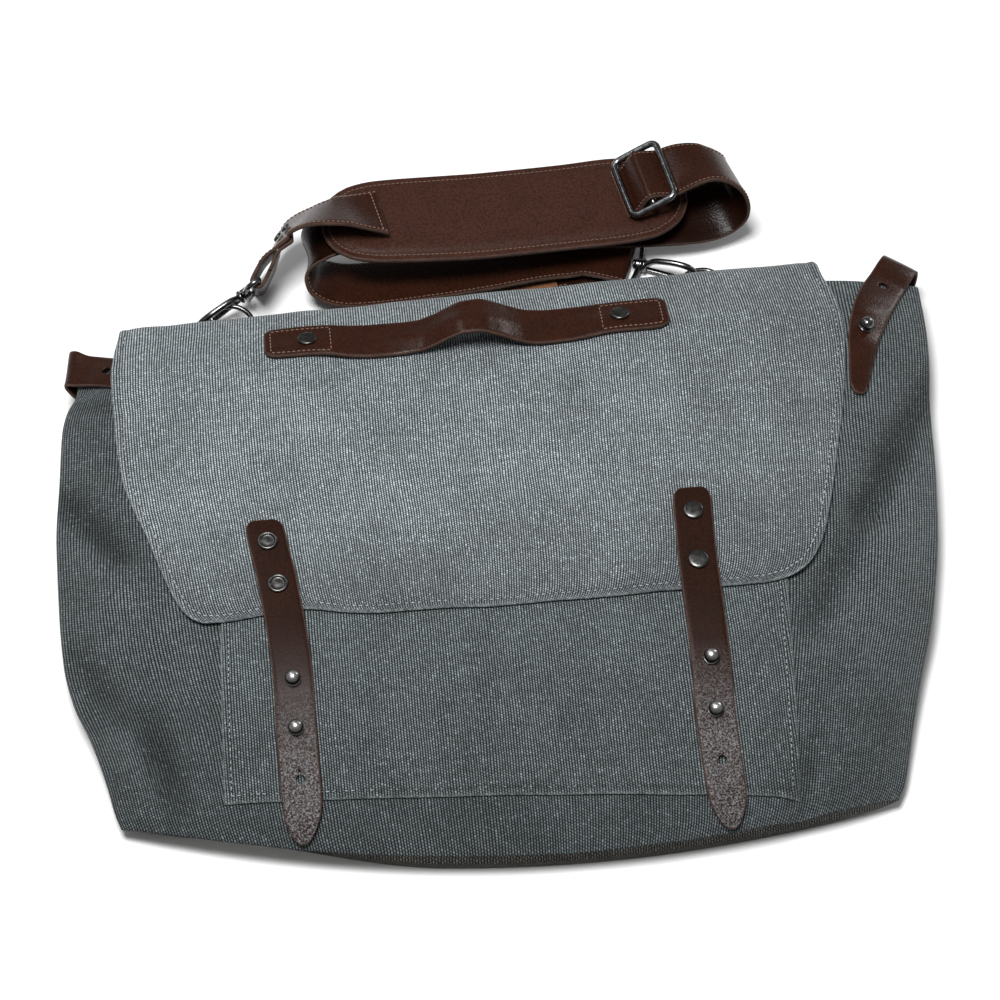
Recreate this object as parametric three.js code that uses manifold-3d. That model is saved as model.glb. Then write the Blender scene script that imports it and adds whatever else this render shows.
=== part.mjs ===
// Canvas messenger bag lying on its back.
// Millimetres, +Z up. The back panel rests on z = 0, +Y points to the flap fold.
import * as THREE from "three";
import Module from "manifold-3d";

const solids = await Module();
solids.setup();

// Canvas
const CANVAS_WALL = 1.6;
const SIDE_FOLD_WALL = 2.6;
const BASE_WALL = 2.0;
const BASE_TUCK = 15;
const BACK_EDGE_TUCK = 2.6;
const BACK_EDGE_TUCK_LEFT = 9;
const BACK_EDGE_TOP = -130;
const MOUTH_Y = 172;
const RIM_DIP = 15;
const RIM_DIP_FROM = 118;
const POCKET_THICK = 1.4;
const POCKET_GAP = 0.5;
const FLAP_THICK = 1.8;
const FLAP_GAP = 0.7;
const FLAP_OVER_POCKET = 2.1;
const FLAP_TOP_Y = 174;
const FLAP_ROOT_Z = 3.4;
const FLAP_SKEW = 0.018;
const POCKET_TOP_Y = 8;

// Leather
const LEATHER_GAP = 0.6;
const CLOSURE_HALF = 11;
const CLOSURE_THICK = 2.4;
const HANDLE_THICK = 2.6;
const SIDE_THICK = 2.2;
const SIDE_STRAP_Y = 154.5;
const SIDE_STRAP_HALF = 12.2;
const SIDE_STRAP_X = -221;
const STRAP_HALF = 18.4;
const STRAP_THICK = 2.4;
const STRAP_BEND = 3.5;
const TAB_HALF = 12;
const TAB_THICK = 1.5;

// Metal
const RIVET_RADIUS = 5.7;
const STUD_BALL = 3.7;
const STUD_COLLAR = 4.7;
const STUD_NECK = 2;
const STUD_HOLE = 2.5;
const SEAT = 0.35;
const RING_WIRE = 1.6;
const SLIDER_WIRE = 2.1;
const LOOP_WIRE = 1.7;
const HOOK_WIRE = 1.9;
const GATE_HALF_WIDTH = 1.7;
const GATE_HALF_THICK = 1.2;

// One row per section of the body, from the base to the mouth.
// left, right: reach of the side folds; crown: front height; lift: back off the floor.
const SECTIONS = [
  { y: -174, left: 218, right: 208, crown: 20, leftFold: 11, rightFold: 10, lift: 0 },
  { y: -166, left: 221, right: 213, crown: 26, leftFold: 12, rightFold: 11, lift: 0 },
  { y: -150, left: 224, right: 218, crown: 33, leftFold: 14, rightFold: 13, lift: 0 },
  { y: -120, left: 229, right: 226, crown: 41, leftFold: 17, rightFold: 16, lift: 0 },
  { y: -90, left: 234, right: 234, crown: 47, leftFold: 19, rightFold: 18, lift: 0 },
  { y: -60, left: 241, right: 243, crown: 50.5, leftFold: 21, rightFold: 20, lift: 0 },
  { y: -30, left: 246, right: 251, crown: 52, leftFold: 22, rightFold: 21, lift: 0 },
  { y: 0, left: 247.5, right: 258, crown: 53, leftFold: 23, rightFold: 22, lift: 0 },
  { y: 45, left: 248, right: 265, crown: 54, leftFold: 24, rightFold: 23, lift: 0 },
  { y: 90, left: 245, right: 270, crown: 54.5, leftFold: 25, rightFold: 24, lift: 0 },
  { y: 120, left: 243, right: 275, crown: 54.8, leftFold: 25, rightFold: 26, lift: 2.4 },
  { y: 141, left: 239, right: 277, crown: 54.2, leftFold: 27, rightFold: 27, lift: 5 },
  { y: 152, left: 234, right: 277.5, crown: 51, leftFold: 30, rightFold: 27, lift: 5.6 },
  { y: 172, left: 231, right: 278, crown: 44.5, leftFold: 30, rightFold: 27, lift: 6.2 },
];

// Height across the section: 0 at the middle of the bag, 1 at the side fold.
const FRONT_PROFILE = [
  { across: 0, rise: 1 },
  { across: 0.35, rise: 0.995 },
  { across: 0.6, rise: 0.96 },
  { across: 0.75, rise: 0.88 },
  { across: 0.84, rise: 0.74 },
  { across: 0.92, rise: 0.45 },
  { across: 1, rise: 0 },
];
const BACK_PROFILE = [
  { across: 0, rise: 0 },
  { across: 0.8, rise: 0 },
  { across: 0.88, rise: 0.18 },
  { across: 0.95, rise: 0.5 },
  { across: 1, rise: 1 },
];

// The base line sags: it is lowest at sagX and rises towards both corners.
const BASE_SAG = { sagX: 45, leftReach: 263, leftRise: 44, rightReach: 163, rightRise: 18 };
const BASE_SAG_TOP = -40;

// Dents (negative) and ridges (positive) of the front, each along a line.
const CREASES = [
  { x0: 262, y0: 128, x1: 200, y1: -14, depth: -6, spread: 10 },
  { x0: 262, y0: 70, x1: 226, y1: -40, depth: 2.5, spread: 10 },
  { x0: -236, y0: 84, x1: -212, y1: 18, depth: -4.5, spread: 11 },
  { x0: -222, y0: -20, x1: -208, y1: -78, depth: -3, spread: 12 },
  { x0: -226, y0: -76, x1: -206, y1: -128, depth: -5, spread: 10 },
  { x0: -204, y0: -70, x1: -186, y1: -130, depth: 3, spread: 9 },
  { x0: -98, y0: 40, x1: -86, y1: -50, depth: -2.6, spread: 18 },
  { x0: 156, y0: -152, x1: 170, y1: -120, depth: -3.5, spread: 8 },
  { x0: -20, y0: 20, x1: 60, y1: 60, depth: 1.6, spread: 45 },
];

const BODY_COLUMNS = [
  -1, -0.955, -0.91, -0.86, -0.8, -0.72, -0.62, -0.5, -0.37, -0.23, -0.08,
  0.08, 0.23, 0.37, 0.5, 0.62, 0.72, 0.8, 0.86, 0.91, 0.955, 1,
];
const BODY_ROWS = [
  -174, -170, -164, -156, -146, -134, -120, -105, -88, -70, -50, -28,
  -4, 20, 44, 66, 86, 104, 120, 134, 145, 158, 172,
];

// How the base folds in between the front edge (down 0) and the back edge (down 1).
const BASE_FOLD = [
  { down: 0.18, tuck: 0.75 },
  { down: 0.34, tuck: 1 },
  { down: 0.68, tuck: 0.5 },
];

// Plan outline of the flap, from the hem up to the fold.
const FLAP_OUTLINE = [
  { y: -38, left: 152, right: 148 },
  { y: -36.5, left: 163, right: 158 },
  { y: -32, left: 170, right: 168 },
  { y: -24, left: 175.5, right: 176.5 },
  { y: -10, left: 181, right: 185 },
  { y: 8, left: 186.5, right: 191.5 },
  { y: 28, left: 192, right: 197.5 },
  { y: 48, left: 199, right: 203 },
  { y: 71, left: 205, right: 209.5 },
  { y: 104, left: 208, right: 217 },
  { y: 138, left: 209, right: 221 },
  { y: 158, left: 207.5, right: 220 },
  { y: 174, left: 204, right: 215.5 },
];
const FLAP_HEM = [
  { x: -170, up: 5 },
  { x: -150, up: 6.5 },
  { x: -128, up: 8 },
  { x: -106, up: 9.5 },
  { x: -85, up: 6 },
  { x: -65, up: 3 },
  { x: -30, up: 1.5 },
  { x: 0, up: 0 },
  { x: 160, up: 0 },
];
const FLAP_ROWS = [
  -38, -36.5, -32, -24, -10, 8, 22, 36, 52, 70, 88, 104, 118, 130, 138, 146, 154, 164, 174,
];
// The fold over the mouth and the root sewn to the back.
const FLAP_FOLD = [
  { reach: 7, rise: 0.93 },
  { reach: 12.5, rise: 0.8 },
  { reach: 17, rise: 0.62 },
  { reach: 18, rise: 0.43 },
  { reach: 15, rise: 0.25 },
  { reach: 10, rise: 0.1 },
  { reach: 2, rise: 0.015 },
  { reach: -10, rise: 0 },
  { reach: -24, rise: 0 },
];
const FLAP_COLUMNS = 22;

const POCKET_CORNERS = {
  topLeft: [-152, POCKET_TOP_Y],
  topRight: [164, POCKET_TOP_Y],
  bottomLeft: [-159, -131],
  bottomRight: [151, -157],
};

// Closing straps, from the tip up: middle line of each.
const CLOSURES = {
  left: {
    line: [
      { y: -156, x: -118 },
      { y: -131, x: -117 },
      { y: -101, x: -117 },
      { y: -72, x: -116.5 },
      { y: -11, x: -121 },
      { y: 16, x: -125 },
      { y: 29, x: -126.5 },
    ],
    rivets: { upper: 14, lower: -13.5 },
    studs: { upper: -71.5, lower: -98 },
    hole: -125,
  },
  right: {
    line: [
      { y: -175, x: 111.5 },
      { y: -144, x: 110 },
      { y: -113, x: 109.5 },
      { y: -81, x: 111 },
      { y: -21, x: 112 },
      { y: 11, x: 113.7 },
      { y: 25, x: 114.5 },
    ],
    rivets: { upper: 9, lower: -22.5 },
    studs: { upper: -81, lower: -110 },
    hole: -137,
  },
};
// Half width near the ends of a closing strap, measured from the tip and from the top.
const CLOSURE_TIP = [
  { from: 0, half: 1.6 },
  { from: 2.5, half: 4.8 },
  { from: 7, half: 7.8 },
  { from: 14, half: 10.2 },
  { from: 24, half: 11 },
];
const CLOSURE_TOP = [
  { from: 0, half: 7.5 },
  { from: 2, half: 10 },
  { from: 6, half: 11 },
];

// Carrying handle along x: middle line, half width, rise of its near and far edges.
const HANDLE = [
  { x: -119, y: 151.2, half: 7, near: 0, far: 0 },
  { x: -117, y: 151.2, half: 10.6, near: 0, far: 0 },
  { x: -112, y: 151.2, half: 12.2, near: 0, far: 0 },
  { x: -98, y: 151, half: 12.5, near: 0, far: 0 },
  { x: -88, y: 150.4, half: 12.5, near: 0.3, far: 0.3 },
  { x: -80, y: 149, half: 12.5, near: 1.6, far: 1.4 },
  { x: -68, y: 146.8, half: 12.5, near: 0.9, far: 1.6 },
  { x: -56, y: 145.6, half: 12.5, near: 0.2, far: 1.8 },
  { x: -40, y: 145.2, half: 12.5, near: 0.2, far: 1.9 },
  { x: -29, y: 145.2, half: 12.5, near: 1.4, far: 2.6 },
  { x: -20, y: 145.4, half: 12.5, near: 5.6, far: 6.6 },
  { x: -11, y: 145.8, half: 12.5, near: 11.6, far: 13 },
  { x: -2, y: 146, half: 12.5, near: 15.4, far: 18.2 },
  { x: 7, y: 146, half: 12.5, near: 15.6, far: 19 },
  { x: 16, y: 145.6, half: 12.5, near: 11.6, far: 15 },
  { x: 25, y: 145, half: 12.5, near: 6, far: 9.2 },
  { x: 34, y: 144.2, half: 12.5, near: 1.8, far: 5 },
  { x: 43, y: 144, half: 12.5, near: 0.3, far: 3.6 },
  { x: 54, y: 144.6, half: 12.5, near: 0.2, far: 2.8 },
  { x: 66, y: 146, half: 12.5, near: 0.3, far: 2 },
  { x: 78, y: 147.8, half: 12.6, near: 0.2, far: 0.8 },
  { x: 91, y: 149, half: 12.8, near: 0, far: 0 },
  { x: 105, y: 149.4, half: 13, near: 0, far: 0 },
  { x: 112, y: 149.6, half: 12.8, near: 0, far: 0 },
  { x: 117, y: 149.8, half: 10.8, near: 0, far: 0 },
  { x: 119, y: 149.8, half: 7.5, near: 0, far: 0 },
];
const HANDLE_RIVETS = { left: { x: -93.5, y: 150.8 }, right: { x: 90, y: 149 } };

// Right side strap on the gusset: middle line and half width, then its turn round the rim.
const SIDE_RIGHT = [
  { x: 222, y: 84.5, half: 2.2 },
  { x: 222.6, y: 87.5, half: 4.4 },
  { x: 223.8, y: 94, half: 5.8 },
  { x: 226.8, y: 106, half: 7.2 },
  { x: 230.4, y: 120, half: 8.8 },
  { x: 235.4, y: 134, half: 10.4 },
  { x: 242.6, y: 149.5, half: 11.4 },
  { x: 251, y: 164, half: 11.6 },
  { x: 256, y: 171.5, half: 11.4 },
];
const SIDE_RIGHT_HEADING = { x: 0.57, y: 0.82 };
const SIDE_RIGHT_STUD = { x: 233.6, y: 130.5 };
const SIDE_RIGHT_HOLE = { x: 252, y: 167 };
const SIDE_TURN = [
  { reach: 10, fall: 0.03 },
  { reach: 17, fall: 0.1 },
  { reach: 21.5, fall: 0.28 },
  { reach: 22.5, fall: 0.5 },
  { reach: 20, fall: 0.74 },
  { reach: 14, fall: 0.93 },
  { reach: 4, fall: 1 },
  { reach: -12, fall: 1 },
];
const SIDE_TURN_Z = 5;

// Left side strap: along the front, round the side fold, back under the gusset.
const SIDE_LEFT_FRONT = [-199, -204, -210, -216, -221, -225];
const SIDE_LEFT_TURN = [
  { out: -2.5, above: 5 },
  { out: 1, above: 3.2 },
  { out: 3.2, above: 0.8 },
  { out: 3.4, above: -2 },
  { out: 1.6, above: -5.2 },
  { out: -2.6, above: -9.2 },
];
const SIDE_LEFT_BACK = [-222, -214, -206];
const SIDE_LEFT_TILT = -0.52;
const SIDE_LEFT_HOLE_X = -212;
const SIDE_LEFT_FOLD_X = -234;
const SIDE_UNDER = 3.6;

// Shoulder pad along x: middle line, half width and height of its middle.
const PAD = [
  { x: -79, y: 247, half: 6, z: 39.4 },
  { x: -77, y: 247, half: 13, z: 39.4 },
  { x: -71, y: 247, half: 21.5, z: 39.4 },
  { x: -60, y: 247, half: 28, z: 39.2 },
  { x: -45, y: 247, half: 31, z: 38.7 },
  { x: -20, y: 247, half: 32, z: 37.5 },
  { x: 10, y: 247.5, half: 32.5, z: 35.5 },
  { x: 40, y: 249, half: 32.5, z: 34 },
  { x: 70, y: 251, half: 32.5, z: 32.5 },
  { x: 97, y: 253, half: 33, z: 31.5 },
  { x: 120, y: 254, half: 31, z: 31 },
  { x: 134, y: 254.5, half: 25, z: 31 },
  { x: 142, y: 255, half: 17, z: 31 },
  { x: 146, y: 255, half: 7, z: 31 },
];
const PAD_ACROSS = [-1, -0.94, -0.8, -0.45, 0, 0.45, 0.8, 0.94, 1];
const PAD_SWELL = [
  { across: 0, half: 2.6 },
  { across: 0.8, half: 2.4 },
  { across: 0.94, half: 1.9 },
  { across: 1, half: 1.5 },
];

// Long strap from the pad through the slider, in three layers, to the right hook.
const LONG_ROUTE = [
  { x: 104.5, y: 255, z: 35.4 },
  { x: 107.4, y: 255.5, z: 35.8 },
  { x: 110.8, y: 256, z: 37.9 },
  { x: 113.4, y: 256.5, z: 42.6 },
  { x: 116.1, y: 257, z: 47.5 },
  { x: 118, y: 257.3, z: 49.2 },
  { x: 120.2, y: 257.7, z: 49.5 },
  { x: 125.5, y: 258.4, z: 48.5 },
  { x: 131, y: 259, z: 47.5 },
  { x: 136.5, y: 259.2, z: 49 },
  { x: 144, y: 259, z: 52 },
  { x: 155, y: 258.2, z: 54.8 },
  { x: 165, y: 257.2, z: 53 },
  { x: 173, y: 256, z: 46 },
  { x: 176, y: 254.5, z: 36.5 },
  { x: 174, y: 252.5, z: 27 },
  { x: 167, y: 250, z: 21 },
  { x: 156, y: 247.5, z: 18.5 },
  { x: 140, y: 246, z: 18 },
  { x: 100, y: 246, z: 19 },
  { x: 50, y: 247, z: 22.5 },
  { x: 0, y: 247.5, z: 27.5 },
  { x: -45, y: 248, z: 32.5 },
  { x: -66, y: 247.5, z: 34.4 },
  { x: -79, y: 244.5, z: 32 },
  { x: -86.5, y: 240, z: 26 },
  { x: -88, y: 235, z: 19 },
  { x: -84, y: 229.5, z: 12.5 },
  { x: -74, y: 225, z: 8.6 },
  { x: -58, y: 223.5, z: 7.4 },
  { x: -20, y: 225, z: 7.2 },
  { x: 20, y: 228.5, z: 7 },
  { x: 55, y: 233, z: 7 },
  { x: 81, y: 234.5, z: 7.6 },
];
// Direction of the strap's width at stops along its route, two stops for each row of the route.
const LONG_ACROSS = [
  { stop: 0, x: -0.17, y: 0.985, z: 0 },
  { stop: 18, x: -0.17, y: 0.985, z: 0 },
  { stop: 23, x: -0.22, y: 0.93, z: -0.26 },
  { stop: 28, x: -0.28, y: 0.92, z: 0.08 },
  { stop: 32, x: -0.25, y: 0.9, z: 0.3 },
  { stop: 40, x: 0, y: 1, z: 0 },
  { stop: 50, x: 0, y: 1, z: 0 },
  { stop: 56, x: 0, y: 1, z: -0.14 },
  { stop: 100, x: 0, y: 1, z: -0.14 },
];
const LONG_RETURN = [
  { x: 83, y: 232.8, z: 1.8 },
  { x: 60, y: 230, z: 1.6 },
  { x: 20, y: 225.5, z: 1.6 },
  { x: -20, y: 222, z: 1.6 },
  { x: -62, y: 220.5, z: 1.6 },
];

// Short strap from the pad to the left hook. spin: 0 flat, 90 on edge.
const TAIL_ROUTE = [
  { x: -42, y: 249.3, z: 44.4, spin: 4 },
  { x: -56, y: 247.5, z: 49, spin: 17 },
  { x: -71, y: 246.4, z: 53.2, spin: 27 },
  { x: -86.5, y: 247.2, z: 49, spin: 35 },
  { x: -96, y: 246.3, z: 40.8, spin: 42 },
  { x: -103.5, y: 241.8, z: 34.8, spin: 53 },
  { x: -109.5, y: 235.3, z: 29.5, spin: 64 },
  { x: -115.5, y: 228, z: 24.5, spin: 73 },
];
// Steps of the doubled end, and where its two caps sit.
const TAIL_DOUBLED = 8;
const TAIL_APART = 1.5;
const TAIL_RIVETS = { upper: 8, lower: 6 };
const TAIL_RIVET_SEAT = 0.6;
const TAIL_RIVET_RADIUS = 3.2;

// Snap hooks: where the strap bends round the loop, where the claw ends, which way is up,
// and the direction of the loop's straight bar.
const HOOKS = {
  left: {
    bar: [-120.5, 220.5, 21],
    end: [-163.5, 198, 9],
    up: [-0.09, -0.38, 0.92],
    across: [-0.055, -0.527, 0.848],
  },
  right: {
    bar: [104.3, 225.8, 5.4],
    end: [152.5, 206.5, 10.4],
    up: [0, 0, 1],
    across: [-0.372, -0.928, 0],
  },
};
const LOOP_PATH = [
  [0, -21], [0, -10], [0, 10], [0, 21], [5.8, 21], [9.8, 7], [9.8, -7], [5.8, -21],
];
const CLAW_PATH = [
  [12.7, 0], [16.2, 2.8], [19.8, 5.6], [27, 6.8], [35, 6.8],
  [41.5, 5], [45, 0.5], [43.8, -4], [40, -6.6], [35, -6.8],
];
const GATE_PATH = [[14.9, -3.4], [17, -3.8], [25.5, -5.2], [34.5, -6.8]];
const SWIVEL_HEAD = { from: 6.2, to: 7.6, radius: 3.2 };
const SWIVEL_POST = { from: 6.7, to: 13.7, radius: 1.9 };
const SWIVEL_BOSS = { from: 7.9, to: 11.8, radius: 4, hole: 2.3 };
const SWIVEL_COLLAR = { from: 12.1, to: 14.4, radius: 4.2 };

// D-rings: middle of the straight bar and how far the round side is tipped up.
const RINGS = {
  left: { x: -140, y: 193.5, z: 4.2, tip: 34 },
  right: { x: 149.4, y: 193.5, z: 4.2, tip: 9 },
};
const RING_PATH = [
  [0, 0], [8, 0], [15, 0.6], [15.2, 7], [12, 14.5], [6, 19], [0, 20],
  [-6, 19], [-12, 14.5], [-15.2, 7], [-15, 0.6], [-8, 0],
];
const TAB_WRAP = 2.9;

// Slider frame: middle, the two frame directions and half sizes.
const SLIDER = {
  middle: [119.5, 257.5, 45.6],
  along: [-0.17, 0.985, 0],
  across: [0.89, 0.155, 0.43],
  halfAlong: 21.5,
  halfAcross: 14.6,
  corner: 4.5,
};

const CANVAS_GREY = "#6d7477";
const LEATHER_BROWN = "#4a2a1e";
const GUNMETAL = "#3a3b3d";

// Smooth curve through one column of a table, straight beyond its ends.
function track(rows, key, column) {
  const at = rows.map((row) => row[key]);
  const value = rows.map((row) => row[column]);
  const last = rows.length - 1;
  const rate = [];
  for (let i = 0; i < last; i += 1) {
    rate.push((value[i + 1] - value[i]) / (at[i + 1] - at[i]));
  }
  const slope = [rate[0]];
  for (let i = 1; i < last; i += 1) {
    const same = rate[i - 1] * rate[i] > 0;
    slope.push(same ? (2 * rate[i - 1] * rate[i]) / (rate[i - 1] + rate[i]) : 0);
  }
  slope.push(rate[last - 1]);
  return (x) => {
    if (x <= at[0]) return value[0] + slope[0] * (x - at[0]);
    if (x >= at[last]) return value[last] + slope[last] * (x - at[last]);
    let i = 0;
    while (x > at[i + 1]) i += 1;
    const span = at[i + 1] - at[i];
    const t = (x - at[i]) / span;
    const u = 1 - t;
    const ends = value[i] * u * u * (1 + 2 * t) + value[i + 1] * t * t * (3 - 2 * t);
    return ends + span * (slope[i] * t * u * u - slope[i + 1] * t * t * u);
  };
}

function clamp01(t) {
  return Math.min(1, Math.max(0, t));
}

function smooth(from, to, at) {
  const t = clamp01((at - from) / (to - from));
  return t * t * (3 - 2 * t);
}

const vec = (x, y, z) => new THREE.Vector3(x, y, z);

// A closed body from shared points and triangles, turned so that it faces outwards.
function bodyFrom(points, triangles) {
  let volume = 0;
  for (const [a, b, c] of triangles) {
    volume += points[a].dot(points[b].clone().cross(points[c]));
  }
  const index = [];
  for (const [a, b, c] of triangles) {
    if (volume > 0) index.push(a, b, c);
    else index.push(a, c, b);
  }
  const flat = new Float32Array(points.length * 3);
  points.forEach((point, i) => point.toArray(flat, i * 3));
  const geometry = new THREE.BufferGeometry();
  geometry.setAttribute("position", new THREE.BufferAttribute(flat, 3));
  geometry.setIndex(index);
  return geometry;
}

function quad(triangles, a, b, c, d) {
  triangles.push([a, b, c], [a, c, d]);
}

// A plate between two point grids of the same size.
function slab(top, bottom) {
  const rows = top.length;
  const columns = top[0].length;
  const points = [...top.flat(), ...bottom.flat()];
  const below = rows * columns;
  const id = (i, j) => i * columns + j;
  const triangles = [];
  for (let i = 0; i + 1 < rows; i += 1) {
    for (let j = 0; j + 1 < columns; j += 1) {
      quad(triangles, id(i, j), id(i, j + 1), id(i + 1, j + 1), id(i + 1, j));
      quad(
        triangles,
        below + id(i, j), below + id(i + 1, j), below + id(i + 1, j + 1), below + id(i, j + 1),
      );
    }
  }
  const edge = [];
  for (let j = 0; j + 1 < columns; j += 1) edge.push(id(0, j));
  for (let i = 0; i + 1 < rows; i += 1) edge.push(id(i, columns - 1));
  for (let j = columns - 1; j > 0; j -= 1) edge.push(id(rows - 1, j));
  for (let i = rows - 1; i > 0; i -= 1) edge.push(id(i, 0));
  edge.forEach((from, k) => {
    const to = edge[(k + 1) % edge.length];
    quad(triangles, from, below + from, below + to, to);
  });
  return bodyFrom(points, triangles);
}

// A plate of even thickness about a grid of middle points.
function plate(middle, thick) {
  const rows = middle.length;
  const columns = middle[0].length;
  const top = [];
  const bottom = [];
  for (let i = 0; i < rows; i += 1) {
    top.push([]);
    bottom.push([]);
    for (let j = 0; j < columns; j += 1) {
      const east = middle[i][Math.min(j + 1, columns - 1)];
      const west = middle[i][Math.max(j - 1, 0)];
      const north = middle[Math.min(i + 1, rows - 1)][j];
      const south = middle[Math.max(i - 1, 0)][j];
      const across = east.clone().sub(west);
      const normal = across.cross(north.clone().sub(south)).normalize();
      top[i].push(middle[i][j].clone().addScaledVector(normal, thick / 2));
      bottom[i].push(middle[i][j].clone().addScaledVector(normal, -thick / 2));
    }
  }
  return slab(top, bottom);
}

// A body swept through rings of points, closed on itself or capped at its ends.
function sweep(rings, closed) {
  const sides = rings[0].length;
  const points = rings.flat();
  const triangles = [];
  const spans = closed ? rings.length : rings.length - 1;
  for (let i = 0; i < spans; i += 1) {
    const next = (i + 1) % rings.length;
    for (let k = 0; k < sides; k += 1) {
      const l = (k + 1) % sides;
      quad(triangles, i * sides + k, i * sides + l, next * sides + l, next * sides + k);
    }
  }
  if (!closed) {
    const end = (rings.length - 1) * sides;
    for (let k = 1; k + 1 < sides; k += 1) {
      triangles.push([0, k + 1, k]);
      triangles.push([end, end + k, end + k + 1]);
    }
  }
  return bodyFrom(points, triangles);
}

// Round wire along a flat path with the given plane normal.
function wire(points, normal, radius, closed, steps, sides) {
  const curve = new THREE.CatmullRomCurve3(points, closed, "centripetal");
  const count = closed ? steps : steps + 1;
  const rings = [];
  for (let i = 0; i < count; i += 1) {
    const t = i / steps;
    const centre = curve.getPoint(t);
    const side = curve.getTangent(t).cross(normal).normalize();
    const ring = [];
    for (let k = 0; k < sides; k += 1) {
      const angle = (2 * Math.PI * k) / sides;
      const point = centre.clone().addScaledVector(normal, radius * Math.cos(angle));
      ring.push(point.addScaledVector(side, radius * Math.sin(angle)));
    }
    rings.push(ring);
  }
  return sweep(rings, closed);
}

// Round rod between two points.
function rod(from, to, radius, sides) {
  const axis = to.clone().sub(from).normalize();
  const hint = Math.abs(axis.z) < 0.8 ? vec(0, 0, 1) : vec(1, 0, 0);
  const side = axis.clone().cross(hint).normalize();
  return wire([from, to], side, radius, false, 1, sides);
}

// Flat strap: each stop gives its middle point and the direction of its width.
function ribbon(stops, half, thick) {
  const rings = stops.map((stop, i) => {
    const ahead = stops[Math.min(i + 1, stops.length - 1)].point;
    const behind = stops[Math.max(i - 1, 0)].point;
    const along = ahead.clone().sub(behind).normalize();
    const across = stop.across.clone().addScaledVector(along, -stop.across.dot(along)).normalize();
    const face = along.clone().cross(across);
    const corners = [[-1, -1], [1, -1], [1, 1], [-1, 1]];
    return corners.map(([u, v]) => {
      const point = stop.point.clone().addScaledVector(across, u * half);
      return point.addScaledVector(face, (v * thick) / 2);
    });
  });
  return sweep(rings, false);
}

// Turned piece: profile rows of [radius, height] about an axis.
function turned(profile, base, axis, sides) {
  const hint = Math.abs(axis.z) < 0.9 ? vec(0, 0, 1) : vec(0, 1, 0);
  const u = axis.clone().cross(hint).normalize();
  const v = axis.clone().cross(u);
  const rings = profile.map(([radius, height]) => {
    const ring = [];
    for (let k = 0; k < sides; k += 1) {
      const angle = (2 * Math.PI * k) / sides;
      const point = base.clone().addScaledVector(axis, height);
      point.addScaledVector(u, radius * Math.cos(angle));
      ring.push(point.addScaledVector(v, radius * Math.sin(angle)));
    }
    return ring;
  });
  return sweep(rings, false);
}

function toSolid(geometry) {
  const mesh = new solids.Mesh({
    numProp: 3,
    vertProperties: geometry.attributes.position.array,
    triVerts: new Uint32Array(geometry.index.array),
  });
  return new solids.Manifold(mesh);
}

function fromSolid(solid) {
  const mesh = solid.getMesh();
  const geometry = new THREE.BufferGeometry();
  geometry.setAttribute("position", new THREE.BufferAttribute(mesh.vertProperties, 3));
  geometry.setIndex(new THREE.BufferAttribute(mesh.triVerts, 1));
  return geometry;
}

function joined(...pieces) {
  return fromSolid(solids.Manifold.union(pieces.map(toSolid)));
}

function cut(piece, ...holes) {
  return fromSolid(toSolid(piece).subtract(solids.Manifold.union(holes.map(toSolid))));
}

const bag = new THREE.Group();
bag.name = "canvas_messenger_bag";

function add(name, geometry, colour, metalness, roughness) {
  const material = new THREE.MeshStandardMaterial({ color: colour, metalness, roughness });
  const mesh = new THREE.Mesh(geometry, material);
  mesh.name = name;
  bag.add(mesh);
}

const addCanvas = (name, geometry) => add(name, geometry, CANVAS_GREY, 0, 0.95);
const addLeather = (name, geometry) => add(name, geometry, LEATHER_BROWN, 0, 0.55);
const addMetal = (name, geometry) => add(name, geometry, GUNMETAL, 1, 0.3);

// Body surface
const leftReach = track(SECTIONS, "y", "left");
const rightReach = track(SECTIONS, "y", "right");
const crownAt = track(SECTIONS, "y", "crown");
const leftFoldAt = track(SECTIONS, "y", "leftFold");
const rightFoldAt = track(SECTIONS, "y", "rightFold");
const liftAt = track(SECTIONS, "y", "lift");
const frontRise = track(FRONT_PROFILE, "across", "rise");
const backRise = track(BACK_PROFILE, "across", "rise");

function sag(x) {
  const away = x - BASE_SAG.sagX;
  if (away < 0) return BASE_SAG.leftRise * (away / BASE_SAG.leftReach) ** 2;
  return BASE_SAG.rightRise * (away / BASE_SAG.rightReach) ** 2;
}

function sagShare(sectionY) {
  return smooth(BASE_SAG_TOP, SECTIONS[0].y, sectionY);
}

// The section that passes through a plan point.
function sectionOf(x, y) {
  let sectionY = y;
  for (let i = 0; i < 12; i += 1) sectionY = y - sag(x) * sagShare(sectionY);
  return sectionY;
}

function creaseAt(x, y, across) {
  let height = 0;
  for (const crease of CREASES) {
    const dx = crease.x1 - crease.x0;
    const dy = crease.y1 - crease.y0;
    const t = ((x - crease.x0) * dx + (y - crease.y0) * dy) / (dx * dx + dy * dy);
    const near = clamp01(t);
    const off = Math.hypot(x - crease.x0 - near * dx, y - crease.y0 - near * dy);
    const fade = 0.35 + 0.65 * Math.sin(Math.PI * (0.15 + 0.7 * near));
    height += crease.depth * fade * Math.exp(-((off / crease.spread) ** 2));
  }
  return height * (1 - across ** 8);
}

function frontZ(x, sectionY, y, inset) {
  const onLeft = x < 0;
  const reach = onLeft ? leftReach(sectionY) : rightReach(sectionY);
  const fold = onLeft ? leftFoldAt(sectionY) : rightFoldAt(sectionY);
  const across = Math.min(1, Math.abs(x) / reach);
  return fold + (crownAt(sectionY) - inset - fold) * frontRise(across) + creaseAt(x, y, across);
}

function frontHeight(x, y) {
  return frontZ(x, sectionOf(x, y), y, 0);
}

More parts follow.
